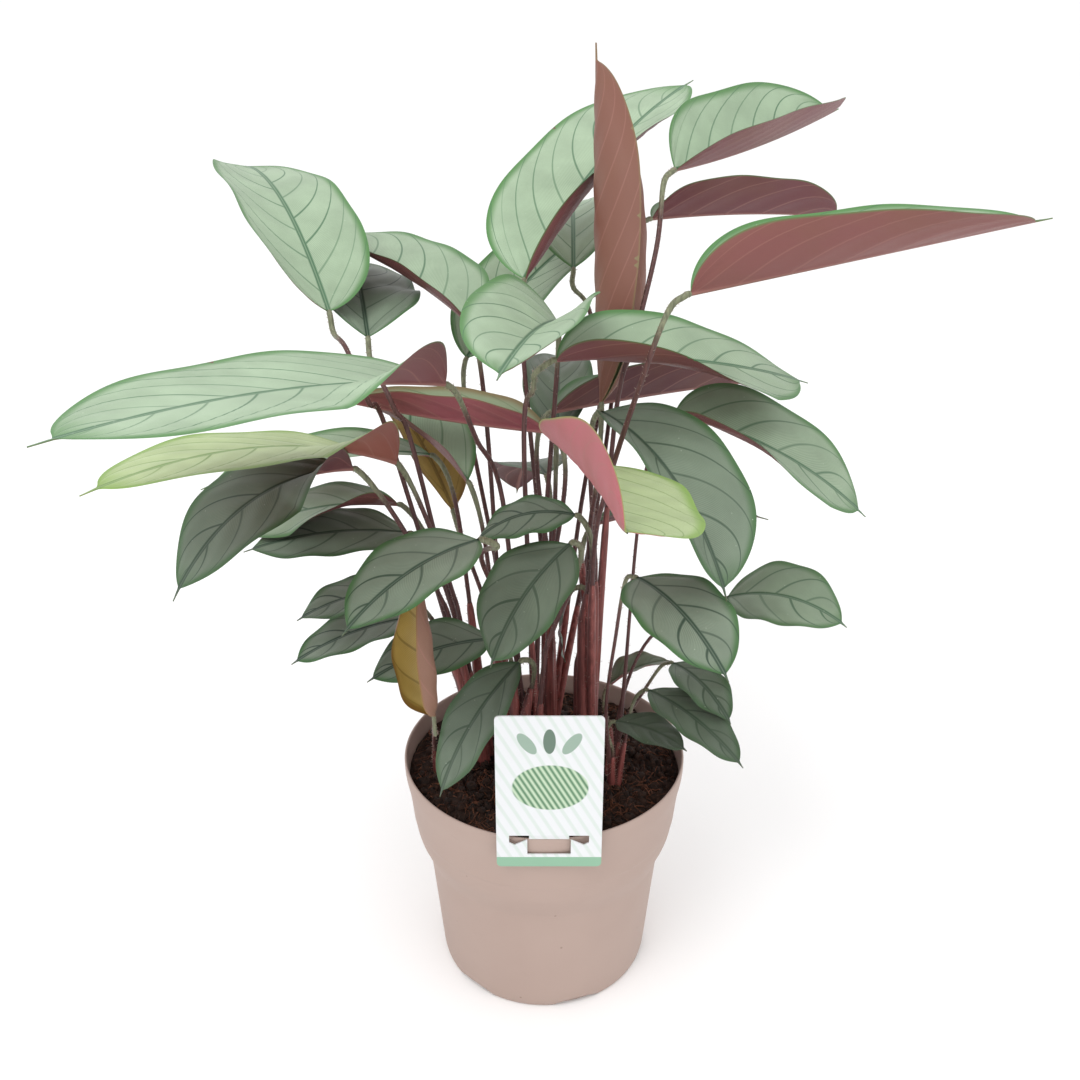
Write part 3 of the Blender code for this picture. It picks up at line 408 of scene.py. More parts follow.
def leafSkin():
    # Upper skin of a ctenanthe leaf: a satin, waxy green that looks silvery between dark veins.
    # Main veins stand where the phase is whole, and fine ones 19 to each, about 1.3 mm apart.
    made, tree, shader = newMaterial("waxyLeafUpper", Roughness=0.46, IOR=1.42)
    read = {key: addNode(tree, "ShaderNodeAttribute", attribute_name=key)
            for key in ("phase", "fromRib", "fromEdge", "spacing", "along", "skin", "vein", "edge")}
    place = addNode(tree, "ShaderNodeTexCoord").outputs["Object"]
    cloud = addNode(tree, "ShaderNodeTexNoise", {"Vector": place}, {"Scale": 45.0, "Detail": 4.0})
    mottle = addNode(tree, "ShaderNodeMapRange", {"Value": cloud.outputs["Fac"]},
                     {"From Min": 0.3, "From Max": 0.7, "To Min": 0.86, "To Max": 1.08})
    fade = addNode(tree, "ShaderNodeMixRGB", {"Color1": read["skin"].outputs["Color"],
                                              "Color2": mottle.outputs[0]}, {"Fac": 1.0},
                   blend_type="MULTIPLY")
    fineCount = addNode(tree, "ShaderNodeMath", {0: read["phase"].outputs["Fac"]}, {1: 19.0},
                        operation="MULTIPLY")
    fine = addNode(tree, "ShaderNodeMath", {0: fineCount.outputs[0]}, {1: 0.5}, operation="PINGPONG")
    fineShare = addNode(tree, "ShaderNodeMapRange", {"Value": fine.outputs[0]},
                        {"From Min": 0.0, "From Max": 0.3, "To Min": 0.4, "To Max": 0.0})
    striped = addNode(tree, "ShaderNodeMixRGB", {"Fac": fineShare.outputs[0], "Color1": fade.outputs[0],
                                                 "Color2": read["vein"].outputs["Color"]})
    border = addNode(tree, "ShaderNodeMapRange", {"Value": read["fromEdge"].outputs["Fac"]},
                     {"From Min": 0.8, "From Max": 6.0, "To Min": 0.97, "To Max": 0.0},
                     interpolation_type="SMOOTHSTEP")
    tipGreen = addNode(tree, "ShaderNodeMapRange", {"Value": read["along"].outputs["Fac"]},
                       {"From Min": 0.84, "From Max": 0.98, "To Min": 0.0, "To Max": 0.9},
                       interpolation_type="SMOOTHSTEP")
    edging = addNode(tree, "ShaderNodeMath", {0: border.outputs[0], 1: tipGreen.outputs[0]},
                     operation="MAXIMUM")
    edged = addNode(tree, "ShaderNodeMixRGB", {"Fac": edging.outputs[0], "Color1": striped.outputs[0],
                                               "Color2": read["edge"].outputs["Color"]})
    near = addNode(tree, "ShaderNodeMath", {0: read["phase"].outputs["Fac"]}, {1: 0.5},
                   operation="PINGPONG")
    veinAway = addNode(tree, "ShaderNodeMath", {0: near.outputs[0], 1: read["spacing"].outputs["Fac"]},
                       operation="MULTIPLY")
    veinLine = addNode(tree, "ShaderNodeMapRange", {"Value": veinAway.outputs[0]},
                       {"From Min": 0.3, "From Max": 1.05, "To Min": 1.0, "To Max": 0.0},
                       interpolation_type="SMOOTHSTEP")
    number = addNode(tree, "ShaderNodeMath", {0: read["phase"].outputs["Fac"]}, operation="ROUND")
    drawn = addNode(tree, "ShaderNodeTexWhiteNoise", {"W": number.outputs[0]}, noise_dimensions="1D")
    strength = addNode(tree, "ShaderNodeMapRange", {"Value": drawn.outputs["Value"]},
                       {"From Min": 0.0, "From Max": 0.5, "To Min": 0.35, "To Max": 0.9})
    veinShare = addNode(tree, "ShaderNodeMath", {0: veinLine.outputs[0], 1: strength.outputs[0]},
                        operation="MULTIPLY")
    ribLine = addNode(tree, "ShaderNodeMapRange", {"Value": read["fromRib"].outputs["Fac"]},
                      {"From Min": 0.9, "From Max": 1.9, "To Min": 0.95, "To Max": 0.0},
                      interpolation_type="SMOOTHSTEP")
    dark = addNode(tree, "ShaderNodeMath", {0: veinShare.outputs[0], 1: ribLine.outputs[0]},
                   operation="MAXIMUM")
    veined = addNode(tree, "ShaderNodeMixRGB", {"Fac": dark.outputs[0], "Color1": edged.outputs[0],
                                                "Color2": read["vein"].outputs["Color"]})
    ribCore = addNode(tree, "ShaderNodeMapRange", {"Value": read["fromRib"].outputs["Fac"]},
                      {"From Min": 0.15, "From Max": 0.55, "To Min": 0.35, "To Max": 0.0})
    cored = addNode(tree, "ShaderNodeMixRGB", {"Fac": ribCore.outputs[0], "Color1": veined.outputs[0],
                                               "Color2": read["skin"].outputs["Color"]})
    dust = addNode(tree, "ShaderNodeTexVoronoi", {"Vector": place}, {"Scale": 160.0})
    speck = addNode(tree, "ShaderNodeMapRange", {"Value": dust.outputs["Distance"]},
                    {"From Min": 0.02, "From Max": 0.07, "To Min": 0.35, "To Max": 0.0})
    dusted = addNode(tree, "ShaderNodeMixRGB", {"Fac": speck.outputs[0], "Color1": cored.outputs[0]},
                     {"Color2": hexColour("#D9E2D2")})
    tree.links.new(dusted.outputs[0], shader.inputs["Base Color"])
    bump = addNode(tree, "ShaderNodeBump", {"Height": fine.outputs[0]},
                   {"Strength": 0.25, "Distance": 0.0003})
    tree.links.new(bump.outputs[0], shader.inputs["Normal"])
    return made


def leafBack():
    # Lower skin: the same leaf's anthocyanin red, matt, with fine raised veins and a paler rib.
    made, tree, shader = newMaterial("anthocyaninLeafUnder", Roughness=0.5, IOR=1.4)
    read = {key: addNode(tree, "ShaderNodeAttribute", attribute_name=key)
            for key in ("phase", "fromRib", "fromEdge", "spacing", "under", "edge", "skin")}
    place = addNode(tree, "ShaderNodeTexCoord").outputs["Object"]
    cloud = addNode(tree, "ShaderNodeTexNoise", {"Vector": place}, {"Scale": 28.0, "Detail": 3.0})
    patch = addNode(tree, "ShaderNodeMapRange", {"Value": cloud.outputs["Fac"]},
                    {"From Min": 0.45, "From Max": 0.75, "To Min": 0.0, "To Max": 0.3})
    aged = addNode(tree, "ShaderNodeMixRGB", {"Fac": patch.outputs[0],
                                              "Color1": read["under"].outputs["Color"]},
                   {"Color2": hexColour("#7D5A40")})
    fineCount = addNode(tree, "ShaderNodeMath", {0: read["phase"].outputs["Fac"]}, {1: 19.0},
                        operation="MULTIPLY")
    fine = addNode(tree, "ShaderNodeMath", {0: fineCount.outputs[0]}, {1: 0.5}, operation="PINGPONG")
    fineShare = addNode(tree, "ShaderNodeMapRange", {"Value": fine.outputs[0]},
                        {"From Min": 0.0, "From Max": 0.35, "To Min": 0.34, "To Max": 0.0})
    striped = addNode(tree, "ShaderNodeMixRGB", {"Fac": fineShare.outputs[0], "Color1": aged.outputs[0]},
                      {"Color2": hexColour("#4A2A2C")})
    near = addNode(tree, "ShaderNodeMath", {0: read["phase"].outputs["Fac"]}, {1: 0.5},
                   operation="PINGPONG")
    veinAway = addNode(tree, "ShaderNodeMath", {0: near.outputs[0], 1: read["spacing"].outputs["Fac"]},
                       operation="MULTIPLY")
    veinLine = addNode(tree, "ShaderNodeMapRange", {"Value": veinAway.outputs[0]},
                       {"From Min": 0.2, "From Max": 1.1, "To Min": 0.4, "To Max": 0.0})
    ribLine = addNode(tree, "ShaderNodeMapRange", {"Value": read["fromRib"].outputs["Fac"]},
                      {"From Min": 0.6, "From Max": 1.4, "To Min": 0.6, "To Max": 0.0})
    paler = addNode(tree, "ShaderNodeMath", {0: veinLine.outputs[0], 1: ribLine.outputs[0]},
                    operation="MAXIMUM")
    ribbed = addNode(tree, "ShaderNodeMixRGB", {"Fac": paler.outputs[0], "Color1": striped.outputs[0]},
                     {"Color2": hexColour("#9A6C62")})
    border = addNode(tree, "ShaderNodeMapRange", {"Value": read["fromEdge"].outputs["Fac"]},
                     {"From Min": 0.2, "From Max": 1.2, "To Min": 0.7, "To Max": 0.0})
    edged = addNode(tree, "ShaderNodeMixRGB", {"Fac": border.outputs[0], "Color1": ribbed.outputs[0],
                                               "Color2": read["edge"].outputs["Color"]})
    tree.links.new(edged.outputs[0], shader.inputs["Base Color"])
    bump = addNode(tree, "ShaderNodeBump", {"Height": fine.outputs[0]},
                   {"Strength": 0.35, "Distance": 0.0003})
    tree.links.new(bump.outputs[0], shader.inputs["Normal"])
    return made


bladeMaterials = [leafSkin(), leafBack()]
for number, (name, leaf) in enumerate(leaves.items()):
    makeBlade(name, leaf, bladeMaterials, np.random.default_rng(number + 7))
print("blades made:", len(leaves))


# Petioles, their sheaths and bristles. One piece for each shoot.
stemForm = {
    "ground": 129.0,       # height at which a petiole starts, inside the crown
    "points": 44,
    "thin": 1.35,          # radius half way up
    "thick": 2.3,          # radius at the foot
    "joint": 22.0,         # length of the swollen joint below the blade
    "neck": 2.3,           # straight end of the joint, in line with the blade
    "jointRise": 0.7,      # slope at which a petiole comes up to its blade
    "jointRadius": 1.6,
    "sheathFoot": 5.2,     # radius of a sheath at the soil
    "sheathTop": 2.0,
    "bristles": 150,       # on each petiole
    "bristle": 1.1,        # length
}
stemTints = {"petiole": "#553634", "joint": "#74775E", "sheath": "#854A45", "sheathDark": "#5C302E"}


def through(points, count):
    # Even points of a smooth curve through the given ones (Catmull-Rom cubics).
    points = np.array(points, float)
    ends = np.vstack([2 * points[0] - points[1], points, 2 * points[-1] - points[-2]])
    place = np.linspace(0, len(points) - 1, count)
    i = np.minimum(place.astype(int), len(points) - 2)
    f = (place - i)[:, None]
    a, b, c, d = ends[i], ends[i + 1], ends[i + 2], ends[i + 3]
    return 0.5 * (2 * b + (c - a) * f + (2 * a - 5 * b + 4 * c - d) * f**2 + (3 * b - a - 3 * c + d) * f**3)


def petiolePath(leaf, place, shoot, count):
    # From the crown up inside the sheath, and then a cubic Bezier, or a smooth curve through
    # the petiole's own points, that ends in the blade's direction.
    points, along = midribAt(leaf, np.array([0.0]))
    end, along = points[0] + 0.3 * along[0], along[0]
    neck = end - stemForm["neck"] * along
    rising = unit(along + (0.0, 0.0, stemForm["jointRise"]))
    ground = np.array([*place, stemForm["ground"]])
    if leaf["via"]:
        bend = neck - 0.5 * stemForm["joint"] * rising
        path = through([ground, ground + (0, 0, 14), *leaf["via"], bend, neck], count - 2)
        return np.vstack([path, (neck + end) / 2, end])
    middle = np.array([*shoot["root"], stemForm["ground"]])
    top = min(shoot["sheath"], ground[2] + 0.55 * (end[2] - ground[2]))
    lean = (end - middle) * (1, 1, 0)
    share = (top - ground[2]) / max(end[2] - ground[2], 1.0)
    start = np.array([*(ground + 0.45 * share * lean)[:2], top])
    reach = np.linalg.norm(neck - start)
    first = start + 0.35 * reach * unit(unit(start - ground) + unit(neck - start))
    second = neck - min(stemForm["joint"], 0.4 * reach) * rising
    t = np.linspace(0, 1, 12)[:, None]
    path = (1 - t) ** 3 * start + 3 * t * (1 - t) ** 2 * first + 3 * t**2 * (1 - t) * second + t**3 * neck
    straight = ground + (start - ground) * np.array([0, 0.4, 0.75])[:, None]
    path = through(np.vstack([straight, path[1:]]), count - 2)
    return np.vstack([path, (neck + end) / 2, end])


def lengthsAlong(paths):
    # Distance of each point from the first one of its path.
    steps = np.linalg.norm(np.diff(paths, axis=1), axis=-1)
    return np.concatenate([np.zeros((len(paths), 1)), np.cumsum(steps, axis=1)], axis=1)


def bristlesOn(paths, radii, each, length, chance):
    # Short spines that stand out of the tubes at random places, leaning up along them.
    count = len(paths) * each
    which = np.repeat(np.arange(len(paths)), each)
    place = chance.uniform(0.08, 0.98, count) * (paths.shape[1] - 1)
    i = place.astype(int)
    f = (place - i)[:, None]
    centre = paths[which, i] * (1 - f) + paths[which, i + 1] * f
    radius = radii[which, i] * (1 - f[:, 0]) + radii[which, i + 1] * f[:, 0]
    along = unit(paths[which, i + 1] - paths[which, i])
    outward = unit(np.cross(along, chance.normal(size=(count, 3))))
    start = centre + outward * (radius * 0.9)[:, None]
    tip = start + (outward + 0.5 * along) * (length * chance.uniform(0.5, 1.3, count))[:, None]
    return tubes(np.stack([start, (start + tip) / 2 + 0.08 * outward, tip], axis=1),
                 np.tile([0.13, 0.1, 0.03], (count, 1)), 3)


def makeShoot(name, shoot, materials, chance):
    # All the petioles of a shoot with a sheath round the foot of each, and their bristles.
    form = stemForm
    own = [leaf for leaf in leaves.values() if leaf["shoot"] == name]
    paths = []
    for leaf in own:
        toward = np.arctan2(leaf["base"][1] - shoot["root"][1], leaf["base"][0] - shoot["root"][0])
        ring = 0.4 * shoot["crown"] if len(own) > 1 else 0.0
        place = np.array(shoot["root"]) + ring * np.array([np.cos(toward), np.sin(toward)])
        paths.append(petiolePath(leaf, place, shoot, form["points"]))
    paths = np.array(paths)
    gone = lengthsAlong(paths)
    total = gone[:, -1:]
    left = total - gone
    slim = 1.0 if shoot["crown"] > 8 else 0.72
    radii = slim * (form["thin"] + (form["thick"] - form["thin"]) * (1 - smooth(0, 0.5, gone / total)))
    radii = radii + (form["jointRadius"] - form["thin"]) * slim * smooth(form["joint"], 0.5 * form["joint"], left)
    radii = radii * np.where(left < 0.01, 0.7, 1.0)
    points, quads = tubes(paths, radii, 12)
    green = np.repeat(smooth(1.6 * form["joint"], 0.8 * form["joint"], left)[..., None], 12, axis=2).ravel()
    tint = (1 - green[:, None]) * np.array(hexColour(stemTints["petiole"])) \
        + green[:, None] * np.array(hexColour(stemTints["joint"]))
    # sheaths: the lower part of each path again, wider
    tops = shoot["sheath"] * chance.uniform(0.8, 1.0, len(own))
    height = np.clip((paths[:, :, 2] - form["ground"]) / (tops[:, None] - form["ground"]), 0, None)
    last = np.maximum((height < 1).sum(axis=1), 6)
    samples = np.linspace(0, 1, 26)[None] * last[:, None]
    i = np.minimum(samples.astype(int), form["points"] - 2)
    f = (samples - i)[..., None]
    rows = np.arange(len(own))[:, None]
    wraps = paths[rows, i] * (1 - f) + paths[rows, i + 1] * f
    share = np.linspace(0, 1, 26)[None]
    foot = form["sheathFoot"] * shoot["crown"] / 11
    wide = foot + (form["sheathTop"] * slim - foot) * share**0.8 + 0 * tops[:, None]
    wide = wide * np.where(share > 0.97, 0.75, 1.0)
    sheathPoints, sheathQuads = tubes(wraps, wide, 16)
    sheathTint = np.array(hexColour(stemTints["sheath"]))[None] * np.ones((len(sheathPoints), 1))
    seam = np.cos(twoPi * np.arange(16) / 16)
    seam = np.tile(seam, len(sheathPoints) // 16)
    dark = smooth(0.7, 1.0, seam)[:, None]
    sheathTint = (1 - dark) * sheathTint + dark * np.array(hexColour(stemTints["sheathDark"]))
    hairPoints, hairQuads = bristlesOn(paths, radii, form["bristles"], form["bristle"], chance)
    woolPoints, woolQuads = bristlesOn(wraps, wide, 70, 1.8, chance)
    pale = np.tile(hexColour("#B9A396"), (len(hairPoints) + len(woolPoints), 1))
    sets = [points, sheathPoints, hairPoints, woolPoints]
    starts = np.cumsum([0] + [len(x) for x in sets[:-1]])
    faces = [q + start for q, start in zip([quads, sheathQuads, hairQuads, woolQuads], starts)]
    looks = np.repeat([0, 0, 1, 1], [len(q) for q in faces])
    values = {"skin": np.concatenate([tint, sheathTint, pale])}
    return addPiece(f"stalks_{name}", np.concatenate(sets), np.concatenate(faces), materials,
                    [f"shoot_{name}"], looks, values)


def stalkSkin():
    # A petiole's skin: hard, satin, dark red brown and finely ribbed lengthways, greyer green at
    # the joint below the blade.
    made, tree, shader = newMaterial("stalkSkin", Roughness=0.48, IOR=1.42)
    skin = addNode(tree, "ShaderNodeAttribute", attribute_name="skin")
    place = addNode(tree, "ShaderNodeTexCoord").outputs["Object"]
    stretch = addNode(tree, "ShaderNodeMapping", {"Vector": place}, {"Scale": (900.0, 900.0, 60.0)})
    ribs = addNode(tree, "ShaderNodeTexNoise", {"Vector": stretch.outputs[0]}, {"Scale": 1.0, "Detail": 3.0})
    light = addNode(tree, "ShaderNodeMapRange", {"Value": ribs.outputs["Fac"]},
                    {"From Min": 0.3, "From Max": 0.7, "To Min": 0.6, "To Max": 1.35})
    ribbed = addNode(tree, "ShaderNodeMixRGB", {"Color1": skin.outputs["Color"], "Color2": light.outputs[0]},
                     {"Fac": 1.0}, blend_type="MULTIPLY")
    tree.links.new(ribbed.outputs[0], shader.inputs["Base Color"])
    bump = addNode(tree, "ShaderNodeBump", {"Height": ribs.outputs["Fac"]},
                   {"Strength": 0.4, "Distance": 0.0004})
    tree.links.new(bump.outputs[0], shader.inputs["Normal"])
    return made


def bristleHair():
    # Dry, pale bristles, matt, a little uneven in colour.
    made, tree, shader = newMaterial("paleBristle", Roughness=0.7, IOR=1.45)
    place = addNode(tree, "ShaderNodeTexCoord").outputs["Object"]
    cloud = addNode(tree, "ShaderNodeTexNoise", {"Vector": place}, {"Scale": 200.0})
    ramp = addNode(tree, "ShaderNodeMixRGB", {"Fac": cloud.outputs["Fac"]},
                   {"Color1": hexColour("#8A6A5E"), "Color2": hexColour("#CDBBAE")})
    tree.links.new(ramp.outputs[0], shader.inputs["Base Color"])
    return made


stalkMaterials = [stalkSkin(), bristleHair()]
for number, (name, shoot) in enumerate(shoots.items()):
    makeShoot(name, shoot, stalkMaterials, np.random.default_rng(number + 70))
print("stalks made:", len(shoots))


# Pot: one closed section turned round the axis, with its arches raised in the foot.
potForm = {
    "outside": [(85.1, 146.9), (85.1, 142.0), (84.6, 137.0), (83.2, 130.0), (82.4, 124.0), (81.6, 116.0),
                (81.0, 108.6), (80.7, 108.0), (80.4, 106.8), (79.9, 102.5), (79.2, 98.6), (78.1, 94.6),
                (76.1, 89.6), (73.7, 83.6), (72.4, 80.0), (71.7, 76.0), (70.4, 62.0), (69.0, 46.0),
                (67.6, 30.0), (66.4, 16.0), (65.6, 7.0), (65.0, 3.0), (64.2, 1.0), (63.0, 0.0)],
    "wall": 1.5,
    "footInner": 56.2,
    "floor": 5.0,
    "pad": 12.0,
    "steps": 240,
    "arches": 6,
    "archFirst": -72.0,    # degrees
    "archHalf": 13.4,      # half width
    "archHeight": 4.8,
    "drains": 6, "drainRing": 40.0, "drainRadius": 4.0,
}


def turnedSurface(section, steps):
    # The section of (radius, height) points carried round the axis, as a grid.
    section = np.array(section, float)
    angle = twoPi * np.arange(steps) / steps
    x = section[:, :1] * np.cos(angle)
    y = section[:, :1] * np.sin(angle)
    return np.stack([x, y, section[:, 1:] + 0 * x], axis=-1), angle


def finer(points, pieces):
    # The open line of points with each stretch cut into the given number of pieces, rounded
    # by two passes of averaging over the added points.
    points = np.array(points, float)
    place = np.linspace(0, len(points) - 1, (len(points) - 1) * pieces + 1)
    line = np.stack([np.interp(place, np.arange(len(points)), points[:, k]) for k in (0, 1)], axis=1)
    for _ in range(2):
        line[1:-1] = 0.25 * line[:-2] + 0.5 * line[1:-1] + 0.25 * line[2:]
    return line


def makePot(material):
    form = potForm
    outside = np.array(form["outside"])
    rim = [(83.7, 147.2), (84.0, 147.8), (84.4, 148.0), (84.9, 147.7)]
    wall = form["wall"]
    inside = outside[:-3][::-1] - (wall, 0)
    foot, floor, pad = form["footInner"], form["floor"], form["pad"]
    lower = [(0.02, wall), (pad - 1.4, wall), (pad, floor + wall), (foot - 0.7, floor + wall),
             (foot + 1.0, wall), (inside[0][0] - 1.2, wall)]
    under = [(foot, 0.0), (foot - 1.5, floor), (pad + 1.5, floor), (pad, 0.0), (0.02, 0.0)]
    section = np.concatenate([lower, finer(inside, 2), rim, finer(outside, 3), under])
    grid, angle = turnedSurface(section, form["steps"])
    gap = twoPi / form["arches"]
    off = (angle - np.radians(form["archFirst"]) + gap / 2) % gap - gap / 2
    arch = form["archHeight"] * np.sqrt(np.clip(1 - (off * 61 / form["archHalf"]) ** 2, 0, 1))
    atFoot = (section[:, 0] > foot - 1) & (section[:, 1] < form["archHeight"] + 0.5)
    atFoot[:len(lower)] = False
    grid[atFoot, :, 2] = np.maximum(grid[atFoot, :, 2], arch)
    quads = gridQuads(len(section), form["steps"], closed=True)[:, ::-1]
    return addPiece("nurseryPot", grid.reshape(-1, 3), quads, [material], ["pot"])


def cutDrains(pot):
    # Round drain holes through the floor: one Boolean with each cylinder, applied.
    form = potForm
    turn = twoPi * np.arange(24) / 24
    for k in range(form["drains"]):
        a = twoPi * k / form["drains"]
        centre = form["drainRing"] * np.array([np.cos(a), np.sin(a)])
        circle = centre + form["drainRadius"] * np.stack([np.cos(turn), np.sin(turn)], axis=1)
        points = np.concatenate([np.column_stack([circle, np.full(24, z)]) for z in (1.0, 10.0)])
        data = bpy.data.meshes.new("drain")
        sides = [(j, (j + 1) % 24, 24 + (j + 1) % 24, 24 + j) for j in range(24)]
        data.from_pydata((points * mm).tolist(), [], sides + [tuple(range(23, -1, -1)), tuple(range(24, 48))])
        cutter = bpy.data.objects.new("drain", data)
        bpy.context.scene.collection.objects.link(cutter)
        cut = pot.modifiers.new("drain", "BOOLEAN")
        cut.operation, cut.object, cut.solver = "DIFFERENCE", cutter, "EXACT"
        bpy.context.view_layer.update()
        made = bpy.data.meshes.new_from_object(pot.evaluated_get(bpy.context.evaluated_depsgraph_get()))
        pot.modifiers.clear()
        pot.data = made
        bpy.data.objects.remove(cutter)


def potPlastic():
    # Injection moulded polypropylene from recycled stock: even, matt taupe, with faint flow
    # clouds, grey rub marks and earth specks.
    made, tree, shader = newMaterial("mouldedPolypropylene", Roughness=0.58, IOR=1.49)
    place = addNode(tree, "ShaderNodeTexCoord").outputs["Object"]
    cloud = addNode(tree, "ShaderNodeTexNoise", {"Vector": place}, {"Scale": 14.0, "Detail": 5.0})
    base = addNode(tree, "ShaderNodeMixRGB", {"Fac": cloud.outputs["Fac"]},
                   {"Color1": hexColour("#A38D83"), "Color2": hexColour("#AF9A90")})
    flat = addNode(tree, "ShaderNodeMapping", {"Vector": place}, {"Scale": (18.0, 18.0, 70.0)})
    rub = addNode(tree, "ShaderNodeTexNoise", {"Vector": flat.outputs[0]}, {"Scale": 1.0, "Detail": 6.0,
                                                                             "Roughness": 0.7})
    rubShare = addNode(tree, "ShaderNodeMapRange", {"Value": rub.outputs["Fac"]},
                       {"From Min": 0.66, "From Max": 0.8, "To Min": 0.0, "To Max": 0.45})
    rubbed = addNode(tree, "ShaderNodeMixRGB", {"Fac": rubShare.outputs[0], "Color1": base.outputs[0]},
                     {"Color2": hexColour("#857469")})
    dots = addNode(tree, "ShaderNodeTexVoronoi", {"Vector": place}, {"Scale": 55.0})
    speck = addNode(tree, "ShaderNodeMapRange", {"Value": dots.outputs["Distance"]},
                    {"From Min": 0.02, "From Max": 0.05, "To Min": 0.6, "To Max": 0.0})
    specked = addNode(tree, "ShaderNodeMixRGB", {"Fac": speck.outputs[0], "Color1": rubbed.outputs[0]},
                      {"Color2": hexColour("#6E5A4E")})
    tree.links.new(specked.outputs[0], shader.inputs["Base Color"])
    grain = addNode(tree, "ShaderNodeTexNoise", {"Vector": place}, {"Scale": 900.0, "Detail": 2.0})
    bump = addNode(tree, "ShaderNodeBump", {"Height": grain.outputs["Fac"]},
                   {"Strength": 0.12, "Distance": 0.0002})
    tree.links.new(bump.outputs[0], shader.inputs["Normal"])
    return made


pot = makePot(potPlastic())
cutDrains(pot)
print("pot made")


# Potting mix: a lumpy surface with crumbs and coir fibres on it, and plain sides in the pot.
soilForm = {
    "edge": 82.3, "height": 135.0, "crown": 5.0,
    "rings": 76, "steps": 240,
    "waves": 26, "rough": 0.55,       # number and height of the small waves
    "crumbs": 1500, "crumb": 2.3,
    "fibres": 760, "fibre": 11.0,      # number and half length
}


def lowLumps(x, y):
    return 1.1 * np.sin(x / 9.0 + 1.3) * np.cos(y / 7.0) + 0.9 * np.sin((x + y) / 5.0)


def soilHeight(x, y, waves):
    # A low dome + broad lumps + many small waves of random length and direction.
    away = np.hypot(x, y) / soilForm["edge"]
    inward = np.clip((1 - away) / 0.2, 0, 1)
    fine = sum(high * np.sin((x * cx + y * cy) + start) for cx, cy, high, start in waves)
    return (soilForm["height"] + soilForm["crown"] * (1 - away**2)
            + lowLumps(x, y) * inward + fine * (0.4 + 0.6 * inward))


def makeSoil(materials, chance):
    form = soilForm
    bearing = chance.uniform(0, twoPi, form["waves"])
    pitch = chance.uniform(2.2, 9.0, form["waves"])
    waves = np.stack([twoPi / pitch * np.cos(bearing), twoPi / pitch * np.sin(bearing),
                      form["rough"] * chance.uniform(0.3, 1, form["waves"]) * pitch / 9,
                      chance.uniform(0, twoPi, form["waves"])], axis=1)
    ring = np.linspace(0.0005, 1, form["rings"]) * form["edge"]
    grid, _ = turnedSurface(np.column_stack([ring, ring * 0]), form["steps"])
    grid[:, :, 2] = soilHeight(grid[:, :, 0], grid[:, :, 1], waves)
    lower, _ = turnedSurface([(82.0, 131.0), (80.6, 124.0), (77.5, 99.0), (74.3, 90.0), (70.0, 79.0), (62.5, 6.0),
                              (57.5, 1.9), (55.6, 6.9), (12.0, 6.9), (10.3, 1.9), (0.02, 1.9)], form["steps"])
    body = np.concatenate([grid, lower])
    quads = gridQuads(len(body), form["steps"], closed=True)
    # crumbs: small squashed balls with uneven radii
    count = form["crumbs"]
    spot = form["edge"] * 0.97 * np.sqrt(chance.uniform(0, 1, count))
    around = chance.uniform(0, twoPi, count)
    x, y = spot * np.cos(around), spot * np.sin(around)
    centre = np.stack([x, y, soilHeight(x, y, waves) + 0.3], axis=1)
    size = form["crumb"] * chance.uniform(0.35, 1.25, count) ** 1.5
    polar = np.linspace(0.02, np.pi - 0.02, 5)
    turn = twoPi * np.arange(6) / 6
    ball = np.stack([np.sin(polar)[:, None] * np.cos(turn), np.sin(polar)[:, None] * np.sin(turn),
                     np.cos(polar)[:, None] + 0 * turn], axis=-1).reshape(-1, 3)
    uneven = chance.uniform(0.65, 1.35, (count, len(ball), 1))
    stretch = chance.uniform(0.6, 1.5, (count, 1, 3))
    crumbs = centre[:, None] + size[:, None, None] * ball * uneven * stretch
    crumbQuads = gridQuads(5, 6, closed=True)[:, ::-1]
    crumbQuads = (crumbQuads[None] + (np.arange(count) * 30)[:, None, None]).reshape(-1, 4)
    # fibres: bent threads that lie on the surface
    count = form["fibres"]
    spot = form["edge"] * 0.96 * np.sqrt(chance.uniform(0, 1, count))
    around = chance.uniform(0, twoPi, count)
    start = np.stack([spot * np.cos(around), spot * np.sin(around)], axis=1)
    heading = chance.uniform(0, twoPi, count)
    bend = chance.normal(0, 0.9, count)
    step = np.linspace(-1, 1, 8)
    reach = form["fibre"] * chance.uniform(0.3, 1.0, count)
    angle = heading[:, None] + bend[:, None] * step
    drift = np.stack([np.cos(angle), np.sin(angle)], axis=-1) * (reach[:, None] * step)[..., None]
    flat = start[:, None] + drift
    away = np.linalg.norm(flat, axis=-1, keepdims=True)
    flat = flat * np.minimum(1, (form["edge"] - 2.0) / away)
    lift = 0.5 + np.abs(chance.normal(0, 0.9, (count, 1))) * (0.4 + step**2)
    high = soilHeight(flat[..., 0], flat[..., 1], waves) + lift
    threads = np.concatenate([flat, high[..., None]], axis=-1)
    thick = np.tile(chance.uniform(0.15, 0.5, (count, 1)), (1, 8)) * (1 - 0.6 * step**4)
    threadPoints, threadQuads = tubes(threads, thick, 4)
    sets = [body.reshape(-1, 3), crumbs.reshape(-1, 3), threadPoints]
    starts = np.cumsum([0] + [len(p) for p in sets[:-1]])
    faces = [q + start for q, start in zip([quads, crumbQuads, threadQuads], starts)]
    looks = np.repeat([0, 0, 1], [len(q) for q in faces])
    return addPiece("pottingMix", np.concatenate(sets), np.concatenate(faces), materials, ["soil"],
                    looks)


